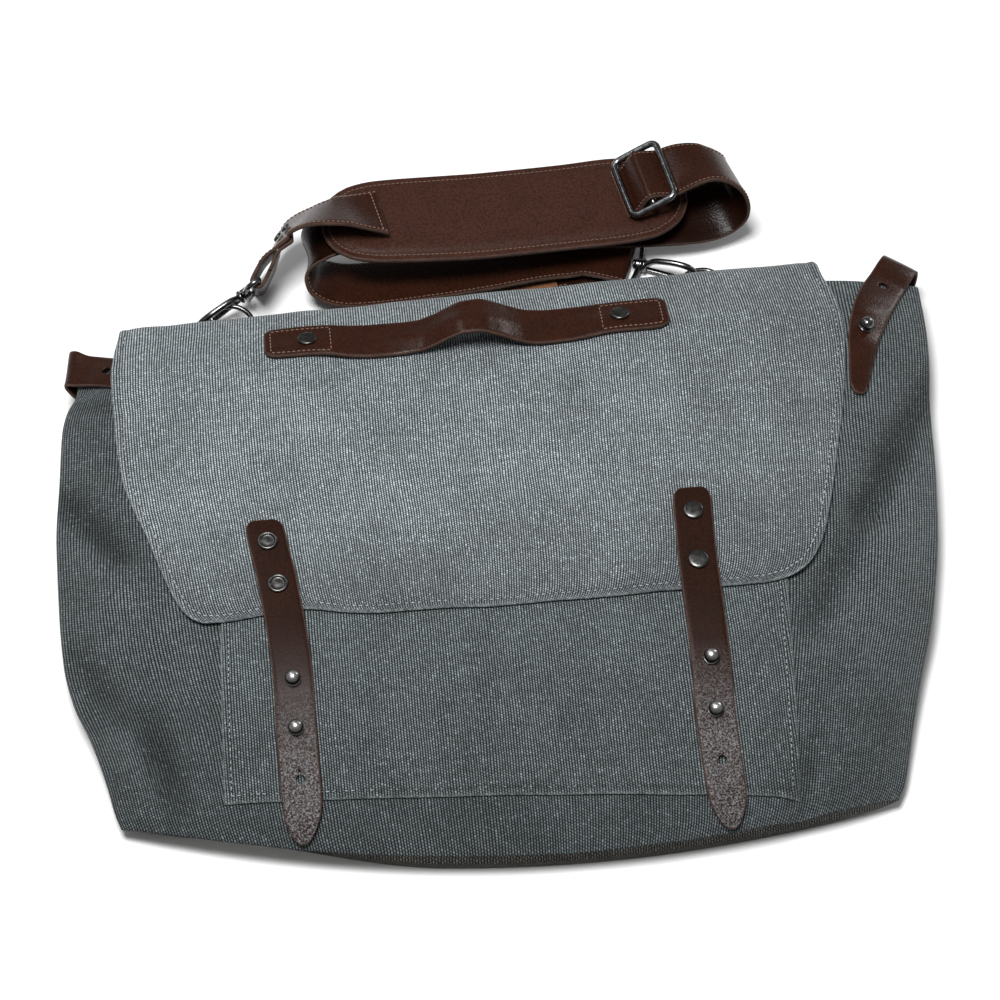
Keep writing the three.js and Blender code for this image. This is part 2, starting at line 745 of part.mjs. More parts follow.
function backHeight(x, y) {
  const sectionY = sectionOf(x, y);
  const onLeft = x < 0;
  const reach = onLeft ? leftReach(sectionY) : rightReach(sectionY);
  const fold = onLeft ? leftFoldAt(sectionY) : rightFoldAt(sectionY);
  const lift = liftAt(sectionY);
  return lift + (fold - lift) * backRise(Math.min(1, Math.abs(x) / reach));
}

// The back panel's lower edge lies further in than the front's.
function backEdgeTuck(share) {
  const more = BACK_EDGE_TUCK_LEFT * smooth(-0.2, -0.75, share);
  return (BACK_EDGE_TUCK + more) * (1 - Math.abs(share) ** 6);
}

// The mouth's edge dips towards the left side fold.
function rimDip(share, rowY) {
  return RIM_DIP * smooth(-0.8, -0.95, share) * smooth(RIM_DIP_FROM, MOUTH_Y, rowY);
}

// One skin of the body: loops of points from the base to the mouth, then the base fold.
function bodySkin(wall, sideWall, baseWall) {
  const last = BODY_COLUMNS.length - 1;
  const loops = BODY_ROWS.map((rowY, i) => {
    const sectionY = i === 0 ? rowY + baseWall : rowY;
    const front = [];
    const back = [];
    BODY_COLUMNS.forEach((share, j) => {
      const reach = share < 0 ? leftReach(sectionY) : rightReach(sectionY);
      const outer = share * reach;
      const x = share * (reach - sideWall);
      const y = sectionY + sag(outer) * sagShare(sectionY) - rimDip(share, rowY);
      front.push(vec(x, y, frontZ(outer, sectionY, y, wall)));
      if (j > 0 && j < last) {
        const fold = share < 0 ? leftFoldAt(sectionY) : rightFoldAt(sectionY);
        const lift = liftAt(sectionY) + wall;
        const tucked = y + backEdgeTuck(share) * smooth(BACK_EDGE_TOP, SECTIONS[0].y, rowY);
        back.unshift(vec(x, tucked, lift + (fold - lift) * backRise(Math.abs(share))));
      }
    });
    return [...front, ...back];
  });
  const base = BASE_FOLD.map((row) => {
    const points = [];
    for (let j = 1; j < last; j += 1) {
      const above = loops[0][j];
      const under = loops[0][2 * last - j];
      const point = above.clone().lerp(under, row.down);
      point.y += BASE_TUCK * row.tuck * (1 - Math.abs(BODY_COLUMNS[j]) ** 5);
      points.push(point);
    }
    return points;
  });
  return { loops, base };
}

function bodyShell() {
  const skins = [bodySkin(0, 0, 0), bodySkin(CANVAS_WALL, SIDE_FOLD_WALL, BASE_WALL)];
  const last = BODY_COLUMNS.length - 1;
  const around = 2 * last;
  const rows = BODY_ROWS.length;
  const baseStart = rows * around;
  const baseWidth = last - 1;
  const skinSize = baseStart + BASE_FOLD.length * baseWidth;
  const points = [];
  const triangles = [];
  skins.forEach((skin, which) => {
    points.push(...skin.loops.flat(), ...skin.base.flat());
    const start = which * skinSize;
    const face = (a, b, c, d) => {
      if (which === 0) quad(triangles, a, b, c, d);
      else quad(triangles, a, d, c, b);
    };
    for (let i = 0; i + 1 < rows; i += 1) {
      for (let k = 0; k < around; k += 1) {
        const l = (k + 1) % around;
        const low = start + i * around;
        face(low + k, low + l, low + around + l, low + around + k);
      }
    }
    // Rows of the base fold run from the front edge down to the back edge.
    const baseRow = (r) => (j) => {
      if (j === 0) return start;
      if (j === last) return start + last;
      if (r === 0) return start + j;
      if (r > BASE_FOLD.length) return start + around - j;
      return start + baseStart + (r - 1) * baseWidth + j - 1;
    };
    for (let r = 0; r <= BASE_FOLD.length; r += 1) {
      const upper = baseRow(r);
      const lower = baseRow(r + 1);
      for (let j = 0; j < last; j += 1) {
        const ring = [upper(j), lower(j), lower(j + 1), upper(j + 1)];
        const corners = ring.filter((id, n) => id !== ring[(n + 1) % 4]);
        if (corners.length === 4) face(...corners);
        else if (which === 0) triangles.push(corners);
        else triangles.push([corners[0], corners[2], corners[1]]);
      }
    }
  });
  const rim = (rows - 1) * around;
  for (let k = 0; k < around; k += 1) {
    const l = (k + 1) % around;
    quad(triangles, rim + k, rim + l, skinSize + rim + l, skinSize + rim + k);
  }
  return bodyFrom(points, triangles);
}

addCanvas("body", bodyShell());

// Front pocket
function onFront(x, y, lift) {
  return vec(x, y, frontHeight(x, y) + lift);
}

function pocketPoint(u, v) {
  const { topLeft, topRight, bottomLeft, bottomRight } = POCKET_CORNERS;
  const left = [0, 1].map((n) => bottomLeft[n] + (topLeft[n] - bottomLeft[n]) * v);
  const right = [0, 1].map((n) => bottomRight[n] + (topRight[n] - bottomRight[n]) * v);
  return [0, 1].map((n) => left[n] + (right[n] - left[n]) * u);
}

const POCKET_GRID = { columns: 20, rows: 11 };
const pocketTop = [];
const pocketBottom = [];
for (let i = 0; i <= POCKET_GRID.rows; i += 1) {
  const plan = [];
  for (let j = 0; j <= POCKET_GRID.columns; j += 1) {
    plan.push(pocketPoint(j / POCKET_GRID.columns, i / POCKET_GRID.rows));
  }
  pocketTop.push(plan.map(([x, y]) => onFront(x, y, POCKET_GAP + POCKET_THICK)));
  pocketBottom.push(plan.map(([x, y]) => onFront(x, y, POCKET_GAP)));
}
addCanvas("front_pocket", slab(pocketTop, pocketBottom));

// Flap
const flapLeft = track(FLAP_OUTLINE, "y", "left");
const flapRight = track(FLAP_OUTLINE, "y", "right");
const hemUp = track(FLAP_HEM, "x", "up");

function flapLift(x, y) {
  const overPocket = FLAP_OVER_POCKET * smooth(44, 18, y);
  const overStrap = 3.8 * smooth(-172, -194, x) * smooth(112, 128, y);
  return FLAP_GAP + overPocket + overStrap;
}

const flapMiddle = [];
for (const rowY of FLAP_ROWS) {
  const row = [];
  for (let j = 0; j <= FLAP_COLUMNS; j += 1) {
    const u = j / FLAP_COLUMNS;
    const x = -flapLeft(rowY) + (flapLeft(rowY) + flapRight(rowY)) * u;
    const y = rowY + hemUp(x) * smooth(30, -38, rowY);
    row.push(onFront(x, y, flapLift(x, y) + FLAP_THICK / 2));
  }
  flapMiddle.push(row);
}
const flapCrest = flapMiddle[flapMiddle.length - 1];
for (const turn of FLAP_FOLD) {
  flapMiddle.push(
    flapCrest.map((crest) => {
      const height = crest.z - FLAP_ROOT_Z;
      const reach = turn.reach > 0 ? turn.reach * (0.45 + 0.55 * (height / 41)) : turn.reach;
      const skew = turn.reach > 0 ? FLAP_SKEW * crest.x * Math.min(1, turn.reach / 12) : 0;
      return vec(crest.x, FLAP_TOP_Y + reach + skew, FLAP_ROOT_Z + height * turn.rise);
    }),
  );
}
addCanvas("flap", plate(flapMiddle, FLAP_THICK));

// Outward direction of the front at a plan point.
function frontNormal(x, y) {
  const step = 4;
  const dx = (frontHeight(x + step, y) - frontHeight(x - step, y)) / (2 * step);
  const dy = (frontHeight(x, y + step) - frontHeight(x, y - step)) / (2 * step);
  return vec(-dx, -dy, 1).normalize();
}

function rivet(base, axis, r) {
  const profile = [[r - 0.4, 0], [r, 0.5], [r, 1], [r - 0.8, 1.6], [r * 0.5, 2]];
  return turned(profile, base, axis, 10);
}

function ballStud(base, axis, depth) {
  const profile = [
    [STUD_NECK, -depth], [STUD_NECK, 0], [STUD_COLLAR, 0.02], [STUD_COLLAR, 0.7], [2.3, 1.1],
  ];
  const centre = 0.8 + STUD_BALL;
  for (const angle of [-45, -15, 15, 45, 70]) {
    const a = THREE.MathUtils.degToRad(angle);
    profile.push([STUD_BALL * Math.cos(a), centre + STUD_BALL * Math.sin(a)]);
  }
  return turned(profile, base, axis, 10);
}

function bore(base, axis, radius) {
  const from = base.clone().addScaledVector(axis, -8);
  const to = base.clone().addScaledVector(axis, 8);
  return rod(from, to, radius, 10);
}

// Closing straps
function closureLift(x, y) {
  const onFlap = flapLift(x, y) + FLAP_THICK + LEATHER_GAP;
  const onPocket = POCKET_GAP + POCKET_THICK + LEATHER_GAP;
  return onPocket + (onFlap - onPocket) * smooth(-60, -40, y);
}

const tipHalf = track(CLOSURE_TIP, "from", "half");
const topHalf = track(CLOSURE_TOP, "from", "half");

for (const [side, strap] of Object.entries(CLOSURES)) {
  const tipY = strap.line[0].y;
  const topY = strap.line[strap.line.length - 1].y;
  const middleX = track(strap.line, "y", "x");
  const stops = CLOSURE_TIP.map((row) => tipY + row.from);
  const bodySteps = 18;
  const firstBody = tipY + CLOSURE_TIP[CLOSURE_TIP.length - 1].from;
  const lastBody = topY - CLOSURE_TOP[CLOSURE_TOP.length - 1].from;
  for (let i = 1; i < bodySteps; i += 1) {
    stops.push(firstBody + ((lastBody - firstBody) * i) / bodySteps);
  }
  stops.push(...CLOSURE_TOP.map((row) => topY - row.from).reverse());
  const top = [];
  const bottom = [];
  for (const y of stops) {
    let half = CLOSURE_HALF;
    if (y < firstBody) half = tipHalf(y - tipY);
    if (y > lastBody) half = topHalf(topY - y);
    const plan = [-1, -0.33, 0.33, 1].map((u) => middleX(y) + u * half);
    top.push(plan.map((x) => onFront(x, y, closureLift(x, y) + CLOSURE_THICK)));
    bottom.push(plan.map((x) => onFront(x, y, closureLift(x, y))));
  }
  const seatAt = (y, lift) => {
    const x = middleX(y);
    return onFront(x, y, closureLift(x, y) + CLOSURE_THICK + lift);
  };
  const holes = [...Object.values(strap.studs), strap.hole].map((y) =>
    bore(seatAt(y, 0), frontNormal(middleX(y), y), STUD_HOLE),
  );
  addLeather(`closure_strap_${side}`, cut(slab(top, bottom), ...holes));
  for (const [level, y] of Object.entries(strap.rivets)) {
    const cap = rivet(seatAt(y, SEAT), frontNormal(middleX(y), y), RIVET_RADIUS);
    addMetal(`closure_rivet_${side}_${level}`, cap);
  }
  for (const [level, y] of Object.entries(strap.studs)) {
    const stud = ballStud(seatAt(y, SEAT), frontNormal(middleX(y), y), CLOSURE_THICK + SEAT);
    addMetal(`closure_stud_${side}_${level}`, stud);
  }
}

// Carrying handle
function handleBase(x, y) {
  return frontHeight(x, y) + FLAP_GAP + FLAP_THICK * 1.05 + LEATHER_GAP;
}

function handlePoint(row, u, lift) {
  const y = row.y + u * row.half;
  const rise = row.near + ((row.far - row.near) * (u + 1)) / 2;
  return vec(row.x, y, handleBase(row.x, y) + rise + lift);
}

const HANDLE_ACROSS = [-1, -0.5, 0, 0.5, 1];
addLeather(
  "carry_handle",
  slab(
    HANDLE.map((row) => HANDLE_ACROSS.map((u) => handlePoint(row, u, HANDLE_THICK))),
    HANDLE.map((row) => HANDLE_ACROSS.map((u) => handlePoint(row, u, 0))),
  ),
);
for (const [side, spot] of Object.entries(HANDLE_RIVETS)) {
  const seat = vec(spot.x, spot.y, handleBase(spot.x, spot.y) + HANDLE_THICK + SEAT);
  addMetal(`handle_rivet_${side}`, rivet(seat, frontNormal(spot.x, spot.y), RIVET_RADIUS));
}

// Side straps
const SIDE_ACROSS = [-1, -0.33, 0.33, 1];
const sideLift = LEATHER_GAP + SIDE_THICK * 0.62;
const sideRight = SIDE_RIGHT.map((row, i) => {
  const ahead = SIDE_RIGHT[Math.min(i + 1, SIDE_RIGHT.length - 1)];
  const behind = SIDE_RIGHT[Math.max(i - 1, 0)];
  const across = vec(ahead.y - behind.y, behind.x - ahead.x, 0).normalize();
  return SIDE_ACROSS.map((u) => {
    const x = row.x + u * row.half * across.x;
    const y = row.y + u * row.half * across.y;
    return onFront(x, y, sideLift);
  });
});
const sideRim = sideRight[sideRight.length - 1];
for (const turn of SIDE_TURN) {
  sideRight.push(
    sideRim.map((rim) => {
      const x = rim.x + SIDE_RIGHT_HEADING.x * turn.reach;
      const y = rim.y + SIDE_RIGHT_HEADING.y * turn.reach;
      return vec(x, y, rim.z + (SIDE_TURN_Z - rim.z) * turn.fall);
    }),
  );
}
function sideSeat(spot, lift) {
  return onFront(spot.x, spot.y, sideLift + SIDE_THICK / 2 + lift);
}
const sideStudAxis = frontNormal(SIDE_RIGHT_STUD.x, SIDE_RIGHT_STUD.y);
addLeather(
  "side_strap_right",
  cut(
    plate(sideRight, SIDE_THICK),
    bore(sideSeat(SIDE_RIGHT_STUD, 0), sideStudAxis, STUD_HOLE),
    rod(sideSeat(SIDE_RIGHT_HOLE, -6), sideSeat(SIDE_RIGHT_HOLE, 6), STUD_HOLE, 10),
  ),
);
addMetal("side_stud_right", ballStud(sideSeat(SIDE_RIGHT_STUD, 0.7), sideStudAxis, 2.4));

const sideLeftY = (x, u) => SIDE_STRAP_Y + SIDE_LEFT_TILT * (x - SIDE_STRAP_X) + u * SIDE_STRAP_HALF;
const sideLeftRow = (x, height) => SIDE_ACROSS.map((u) => height(x, sideLeftY(x, u)));
const sideLeft = [
  ...SIDE_LEFT_FRONT.map((x) => sideLeftRow(x, (px, y) => onFront(px, y, sideLift))),
  ...SIDE_LEFT_TURN.map((turn) =>
    SIDE_ACROSS.map((u) => {
      const y = sideLeftY(SIDE_LEFT_FOLD_X - turn.out, u);
      return vec(-leftReach(y) - turn.out, y, leftFoldAt(y) + turn.above);
    }),
  ),
  ...SIDE_LEFT_BACK.map((x) =>
    sideLeftRow(x, (px, y) => vec(px, y, backHeight(px, y) - SIDE_UNDER)),
  ),
];
const leftHoleY = sideLeftY(SIDE_LEFT_HOLE_X, 0);
const leftHole = onFront(SIDE_LEFT_HOLE_X, leftHoleY, sideLift);
addLeather(
  "side_strap_left",
  cut(
    plate(sideLeft, SIDE_THICK),
    bore(leftHole, frontNormal(SIDE_LEFT_HOLE_X, leftHoleY), STUD_HOLE),
  ),
);

// D-rings and their leather tabs
for (const [side, ring] of Object.entries(RINGS)) {
  const tip = THREE.MathUtils.degToRad(ring.tip);
  const up = vec(0, Math.cos(tip), Math.sin(tip));
  const bar = vec(ring.x, ring.y, ring.z);
  const path = RING_PATH.map(([x, d]) => bar.clone().add(vec(x, 0, 0)).addScaledVector(up, d));
  const normal = vec(1, 0, 0).cross(up).normalize();
  addMetal(`ring_${side}`, wire(path, normal, RING_WIRE, true, 28, 7));

  const stops = [
    { y: 158, z: bar.z - TAB_WRAP }, { y: 170, z: bar.z - TAB_WRAP },
    { y: 182, z: bar.z - TAB_WRAP }, { y: ring.y - 2, z: bar.z - TAB_WRAP },
  ];
  for (const angle of [-90, -60, -30, 0, 30, 60, 90, 115]) {
    const a = THREE.MathUtils.degToRad(angle);
    stops.push({ y: ring.y + TAB_WRAP * Math.cos(a), z: bar.z + TAB_WRAP * Math.sin(a) });
  }
  const tab = stops.map((stop) => ({ point: vec(ring.x, stop.y, stop.z), across: vec(1, 0, 0) }));
  addLeather(`ring_tab_${side}`, ribbon(tab, TAB_HALF, TAB_THICK));
}

// Snap hooks
const hookFrames = {};
for (const [side, hook] of Object.entries(HOOKS)) {
  const bar = vec(...hook.bar);
  const a = vec(...hook.end).sub(bar).normalize();
  const b = vec(...hook.up);
  b.addScaledVector(a, -b.dot(a)).normalize();
  const n = a.clone().cross(b);
  const across = vec(...hook.across);
  across.addScaledVector(a, -across.dot(a)).normalize();
  hookFrames[side] = { bar, a, b, n, across };
}

function hookPoint(frame, along, side, sideAxis) {
  return frame.bar.clone().addScaledVector(frame.a, along).addScaledVector(sideAxis, side);
}

for (const [side, frame] of Object.entries(hookFrames)) {
  const onAxis = (along) => hookPoint(frame, along, 0, frame.b);
  const rodOn = (part, radius) => rod(onAxis(part.from), onAxis(part.to), radius, 10);
  const loopPath = LOOP_PATH.map(([p, q]) => hookPoint(frame, p, q, frame.across));
  const loopNormal = frame.a.clone().cross(frame.across);
  const loopWire = wire(loopPath, loopNormal, LOOP_WIRE, true, 24, 7);
  const passage = { from: SWIVEL_BOSS.from - 4, to: SWIVEL_BOSS.to + 4 };
  addMetal(
    `hook_loop_${side}`,
    cut(joined(loopWire, rodOn(SWIVEL_BOSS, SWIVEL_BOSS.radius)), rodOn(passage, SWIVEL_BOSS.hole)),
  );
  const clawPath = CLAW_PATH.map(([p, q]) => hookPoint(frame, p, q, frame.b));
  addMetal(
    `hook_${side}`,
    joined(
      rodOn(SWIVEL_HEAD, SWIVEL_HEAD.radius),
      rodOn(SWIVEL_POST, SWIVEL_POST.radius),
      rodOn(SWIVEL_COLLAR, SWIVEL_COLLAR.radius),
      wire(clawPath, frame.n, HOOK_WIRE, false, 22, 8),
    ),
  );
  const gate = GATE_PATH.map(([p, q]) => ({
    point: hookPoint(frame, p, q, frame.b),
    across: frame.n,
  }));
  addMetal(`hook_gate_${side}`, ribbon(gate, GATE_HALF_WIDTH, 2 * GATE_HALF_THICK));
}

// Shoulder pad
const padSwell = track(PAD_SWELL, "across", "half");
const padLayer = (way) =>
  PAD.map((row) =>
    PAD_ACROSS.map((u) => vec(row.x, row.y + u * row.half, row.z + way * padSwell(Math.abs(u)))),
  );
addLeather("shoulder_pad", slab(padLayer(1), padLayer(-1)));

// Points of a route, evenly spread between its rows.
function routePoints(rows, perRow) {
  const curve = new THREE.CatmullRomCurve3(
    rows.map((row) => vec(row.x, row.y, row.z)), false, "centripetal",
  );
  return curve.getPoints((rows.length - 1) * perRow);
}

// Half turn of a strap round a hook bar, from the upper layer to the lower one.
function barTurn(bar, along, face) {
  return [75, 45, 15, -15, -45, -75].map((angle) => {
    const a = THREE.MathUtils.degToRad(angle);
    const point = bar.clone().addScaledVector(along, STRAP_BEND * Math.cos(a));
    return point.addScaledVector(face, STRAP_BEND * Math.sin(a));
  });
}

const sliderAlong = vec(...SLIDER.along).normalize();
const sliderAcross = vec(...SLIDER.across).normalize();
const sliderNormal = sliderAcross.clone().cross(sliderAlong).normalize();

// Long strap
const rightHook = hookFrames.right;
const longOut = routePoints(LONG_ROUTE, 2);
const longPoints = [
  ...longOut,
  ...barTurn(rightHook.bar, rightHook.a, rightHook.b),
  ...routePoints(LONG_RETURN, 2),
];
const longAcross = {
  x: track(LONG_ACROSS, "stop", "x"),
  y: track(LONG_ACROSS, "stop", "y"),
  z: track(LONG_ACROSS, "stop", "z"),
};
const longStops = longPoints.map((point, i) => {
  const turn = smooth(longOut.length - 4, longOut.length, i);
  const back = smooth(longOut.length + 6, longOut.length + 11, i);
  const across = vec(longAcross.x(i), longAcross.y(i), longAcross.z(i) * (1 - turn));
  across.lerp(rightHook.across.clone().negate(), turn * (1 - back));
  return { point, across };
});
addLeather("strap_long", ribbon(longStops, STRAP_HALF, STRAP_THICK));

// Short strap to the left hook
const leftHook = hookFrames.left;
const tailSpin = track(TAIL_ROUTE.map((row, i) => ({ i, spin: row.spin })), "i", "spin");
const TAIL_STEPS = 3;
const tailMiddle = routePoints(TAIL_ROUTE, TAIL_STEPS);
const tailStops = tailMiddle.map((point, i) => {
  const ahead = tailMiddle[Math.min(i + 1, tailMiddle.length - 1)];
  const behind = tailMiddle[Math.max(i - 1, 0)];
  const along = ahead.clone().sub(behind).normalize();
  const level = vec(0, 0, 1).cross(along).normalize();
  const upright = along.clone().cross(level);
  const spin = THREE.MathUtils.degToRad(tailSpin(i / TAIL_STEPS));
  const across = level.clone().multiplyScalar(Math.cos(spin));
  across.addScaledVector(upright, Math.sin(spin));
  const face = along.clone().cross(across);
  return { point, along, across, face };
});
const tailEnd = tailStops.length - 1;
for (const [i, stop] of tailStops.entries()) {
  stop.across.lerp(leftHook.across, smooth(tailEnd - 8, tailEnd - 1, i)).normalize();
  stop.face.copy(stop.along).cross(stop.across).normalize();
}
// The doubled end: outer layer, half turn round the hook bar, inner layer.
const tailShift = (i) => {
  const apart = TAIL_APART * smooth(tailEnd - 12, tailEnd - TAIL_DOUBLED, i);
  return apart + (STRAP_BEND - TAIL_APART) * smooth(tailEnd - 4, tailEnd, i);
};
const tailLayer = (way) =>
  tailStops.map((stop, i) => ({
    point: stop.point.clone().addScaledVector(stop.face, way * tailShift(i)),
    across: stop.across,
  }));
const tailAlong = leftHook.bar.clone().sub(tailStops[tailEnd].point).normalize();
const tailFace = tailAlong.clone().cross(leftHook.across).normalize();
const tailTurn = barTurn(leftHook.bar, tailAlong, tailFace).map((point) => ({
  point,
  across: leftHook.across,
}));
const tailInner = tailLayer(-1).slice(tailEnd - TAIL_DOUBLED).reverse();
addLeather(
  "strap_tail",
  ribbon([...tailLayer(1), ...tailTurn, ...tailInner], STRAP_HALF, STRAP_THICK),
);
for (const [level, back] of Object.entries(TAIL_RIVETS)) {
  const stop = tailStops[tailEnd - back];
  const raise = tailShift(tailEnd - back) + STRAP_THICK / 2 + TAIL_RIVET_SEAT;
  const seat = stop.point.clone().addScaledVector(stop.face, raise);
  addMetal(`tail_rivet_${level}`, rivet(seat, stop.face, TAIL_RIVET_RADIUS));
}

// Slider
function sliderPoint(p, q) {
  const point = vec(...SLIDER.middle).addScaledVector(sliderAcross, p);
  return point.addScaledVector(sliderAlong, q);
}
const sliderPath = [];
for (const [sx, sy] of [[1, -1], [1, 1], [-1, 1], [-1, -1]]) {
  const cx = sx * (SLIDER.halfAcross - SLIDER.corner);
  const cy = sy * (SLIDER.halfAlong - SLIDER.corner);
  const start = Math.atan2(sy, sx) - Math.PI / 4;
  for (const step of [0, 0.5, 1]) {
    const angle = start + (step * Math.PI) / 2;
    sliderPath.push(
      sliderPoint(cx + SLIDER.corner * Math.cos(angle), cy + SLIDER.corner * Math.sin(angle)),
    );
  }
}
addMetal(
  "slider",
  joined(
    wire(sliderPath, sliderNormal, SLIDER_WIRE, true, 36, 8),
    rod(sliderPoint(0, -SLIDER.halfAlong), sliderPoint(0, SLIDER.halfAlong), SLIDER_WIRE, 10),
  ),
);

export default bag;
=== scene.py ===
"""Finished looks of a canvas messenger bag that lies on its back.

Sizes are in millimetres, +Z up, +Y towards the flap fold. They become metres when a mesh is made.
"""

from math import radians, tau

import bpy
import numpy as np
from mathutils import Matrix, Vector
from mathutils.kdtree import KDTree


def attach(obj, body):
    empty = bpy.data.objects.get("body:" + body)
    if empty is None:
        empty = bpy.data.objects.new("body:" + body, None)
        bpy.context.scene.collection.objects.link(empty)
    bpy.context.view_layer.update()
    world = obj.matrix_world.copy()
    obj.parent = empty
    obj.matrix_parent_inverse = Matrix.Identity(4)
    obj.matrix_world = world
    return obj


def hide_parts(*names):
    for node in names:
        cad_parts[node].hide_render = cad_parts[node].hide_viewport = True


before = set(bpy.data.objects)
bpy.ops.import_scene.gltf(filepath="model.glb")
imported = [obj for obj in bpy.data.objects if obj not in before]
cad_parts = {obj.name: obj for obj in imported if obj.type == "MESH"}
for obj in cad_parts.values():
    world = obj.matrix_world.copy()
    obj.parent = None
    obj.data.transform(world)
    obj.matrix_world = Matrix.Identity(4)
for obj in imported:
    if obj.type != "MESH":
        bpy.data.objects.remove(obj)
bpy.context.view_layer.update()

MM = 0.001


def table(columns, *rows):
    """Named columns of numbers."""
    return {name: np.array(values, float) for name, values in zip(columns.split(), zip(*rows))}


# Camera of the photograph
CAMERA_ELEVATION = radians(58)
CAMERA_AZIMUTH = radians(-6)
CAMERA_TARGET = Vector((0.008, 0.040, 0.040))
CAMERA_DISTANCE = 1.6
CAMERA_LENS = 101.05
SENSOR = 36

# Canvas
CANVAS_WALL = 1.6
SIDE_FOLD_WALL = 2.6
BASE_WALL = 2.0
BASE_TUCK = 15
BACK_EDGE_TUCK = 2.6
BACK_EDGE_TUCK_LEFT = 9
BACK_EDGE_TOP = -130
BACK_EDGE_SHARE = (-0.2, -0.75)
BASE_Y = -174
MOUTH_Y = 172
RIM_DIP = 15
RIM_DIP_FROM = 118
RIM_DIP_SHARE = (-0.8, -0.95)
BODY_COLUMNS = 131
BODY_STEP = 3.2
BODY_CROWDING = 0.25
STEEP_SHARE = 0.4
BODY_EDGE_STEPS = (0, 0.8, 2, 3.6)
BASE_STEPS = 12
BASE_CLOTH = 20
FOLD_ROUNDING = 3
NORMAL_STEP = 4.0
POCKET_THICK = 1.4
POCKET_GAP = 0.5
POCKET_ROUND = 0.7
POCKET_BULGE = 0.5
POCKET_BULGE_EDGE = (2, 30)
POCKET_BULGE_Y = (-44, -70)
FLAP_THICK = 1.8
FLAP_GAP = 0.7
FLAP_OVER_POCKET = 2.1
FLAP_POCKET_Y = (44, 18)
FLAP_OVER_STRAP = 3.8
FLAP_STRAP_X = (-172, -194)
FLAP_STRAP_Y = (112, 128)
FLAP_TOP_Y = 174
FLAP_HEM_Y = -38
FLAP_ROOT_Z = 3.4
FLAP_SKEW = 0.018
FLAP_SKEW_REACH = 12
FLAP_WIDTH = 410
FLAP_FOLD_ROWS = 46
FLAP_FOLD_HEIGHT = 41
FLAP_FOLD_LEAST = 0.45
FLAP_SOFT_ROWS = (10, 12)
FLAP_SOFT_PASSES = 12
FLAP_ROOT_LENGTH = 60
FLAP_ROUND = 0.9
# Column of the flap along which its length is measured, and how far the weave narrows with the flap.
FLAP_COLUMN = 80
FLAP_WEAVE = 0.6
SHEET_STEP = 2.6
HEM_WIDTH = 4.2
HEM_RIDGE = 0.4
HEM_RIDGE_AT = 1.9
HEM_RIDGE_WIDE = 1.3
HEM_GROOVE = 0.5
HEM_GROOVE_WIDE = 1.0
PUCKER = 0.16
PUCKER_PITCH = 11
PUCKER_AT = HEM_WIDTH + 2.5
PUCKER_WIDE = 4
# Edge distance of cloth that has no hem.
NO_HEM = 20.0
# Distances from an edge of the mesh rows nearest to it.
EDGE_STEPS = (0, 0.1, 0.35, 0.9, 1.7, 2.6)
POCKET_EDGE_STEPS = (0, 0.1, 0.3, 0.7, 1.4, 2.4)

# Leather
LEATHER_GAP = 0.6
CLOSURE_HALF = 11
CLOSURE_THICK = 2.4
CLOSURE_STEP = 1.9
CLOSURE_BRIDGE_Y = (-100, -36)
HANDLE_THICK = 2.6
HANDLE_HALF = 12.5
HANDLE_STEP = 1.6
HANDLE_SEAM_END = 0.74
HANDLE_SEAM_SIDE = 0.78
HANDLE_SEAT = FLAP_GAP + FLAP_THICK * 1.05 + LEATHER_GAP
SIDE_THICK = 2.2
SIDE_LIFT = LEATHER_GAP + SIDE_THICK * 0.62
SIDE_STRAP_Y = 154.5
SIDE_STRAP_HALF = 12.2
SIDE_STRAP_X = -221
SIDE_LEFT_FOLD_X = -234
SIDE_LEFT_TILT = -0.52
SIDE_LEFT_HOLE_X = -212
SIDE_UNDER = 3.6
SIDE_TURN_Z = 5
SIDE_STUD_SEAT = 0.7
SIDE_STUD_DEPTH = 2.4
STRAP_HALF = 18.4
STRAP_THICK = 2.4
STRAP_BEND = 3.5
TAB_HALF = 12
TAB_THICK = 1.5
TAB_WRAP = 2.9
TAB_ROOT_Y = (158, 170, 182)
TAB_ANGLES = (-90, -60, -30, 0, 30, 60, 90, 115)
EDGE_ROUND = 0.9
COLUMN_STEP = 2.0
THREAD_INSET = 2.0
THREAD_RISE = STRAP_THICK / 2 + 0.05
STRAP_SEAMS = (THREAD_INSET - STRAP_HALF, STRAP_HALF - THREAD_INSET)
STRAP_FINE = 4
LEATHER_PITCH = 2.9

# Metal
RIVET_RADIUS = 5.7
STUD_BALL = 4.2
BALL_RISE = 0.7
BALL_ANGLES = np.radians(np.linspace(-32, 88, 14))
STUD_HOLE = 2.5
BORE_REACH = 8
SLIT_HALF = 0.55
SEAT = 0.35
RING_WIRE = 1.6
SLIDER_WIRE = 2.1
LOOP_WIRE = 1.7
HOOK_WIRE = 1.9
GATE_HALF_WIDTH = 1.7
GATE_HALF_THICK = 1.2
CLAW_TAPER = 0.75
CLAW_TAPER_FROM = 0.975
CAP_SIDES = 40
STUD_SIDES = 36
HOLE_SIDES = 24
SWIVEL_SIDES = 28
GATE_SIDES = 20
WIRE_SIDES = 16
LOOP_SIDES = 14
# Turned profiles: caps as share of their radius and height, stud feet as radius and height.
CAP_RINGED = (
    (0.9, 0), (1, 0.25), (1, 0.9), (0.95, 1.25), (0.85, 1.4), (0.75, 1.3), (0.69, 0.9), (0.65, 0.5),
    (0.6, 0.42), (0.4, 0.42), (0.3, 0.5), (0.05, 0.55),
)
CAP_DOMED = (
    (0.9, 0), (0.98, 0.2), (1, 0.5), (1, 0.9), (0.96, 1.25), (0.88, 1.5), (0.7, 1.68),
    (0.45, 1.8), (0.2, 1.86), (0.05, 1.87),
)
STUD_FOOT = ((2, 0), (3.9, 0.02), (4.2, 0.2), (4.2, 0.4), (3.9, 0.6), (3.4, 0.7), (3.1, 0.9))

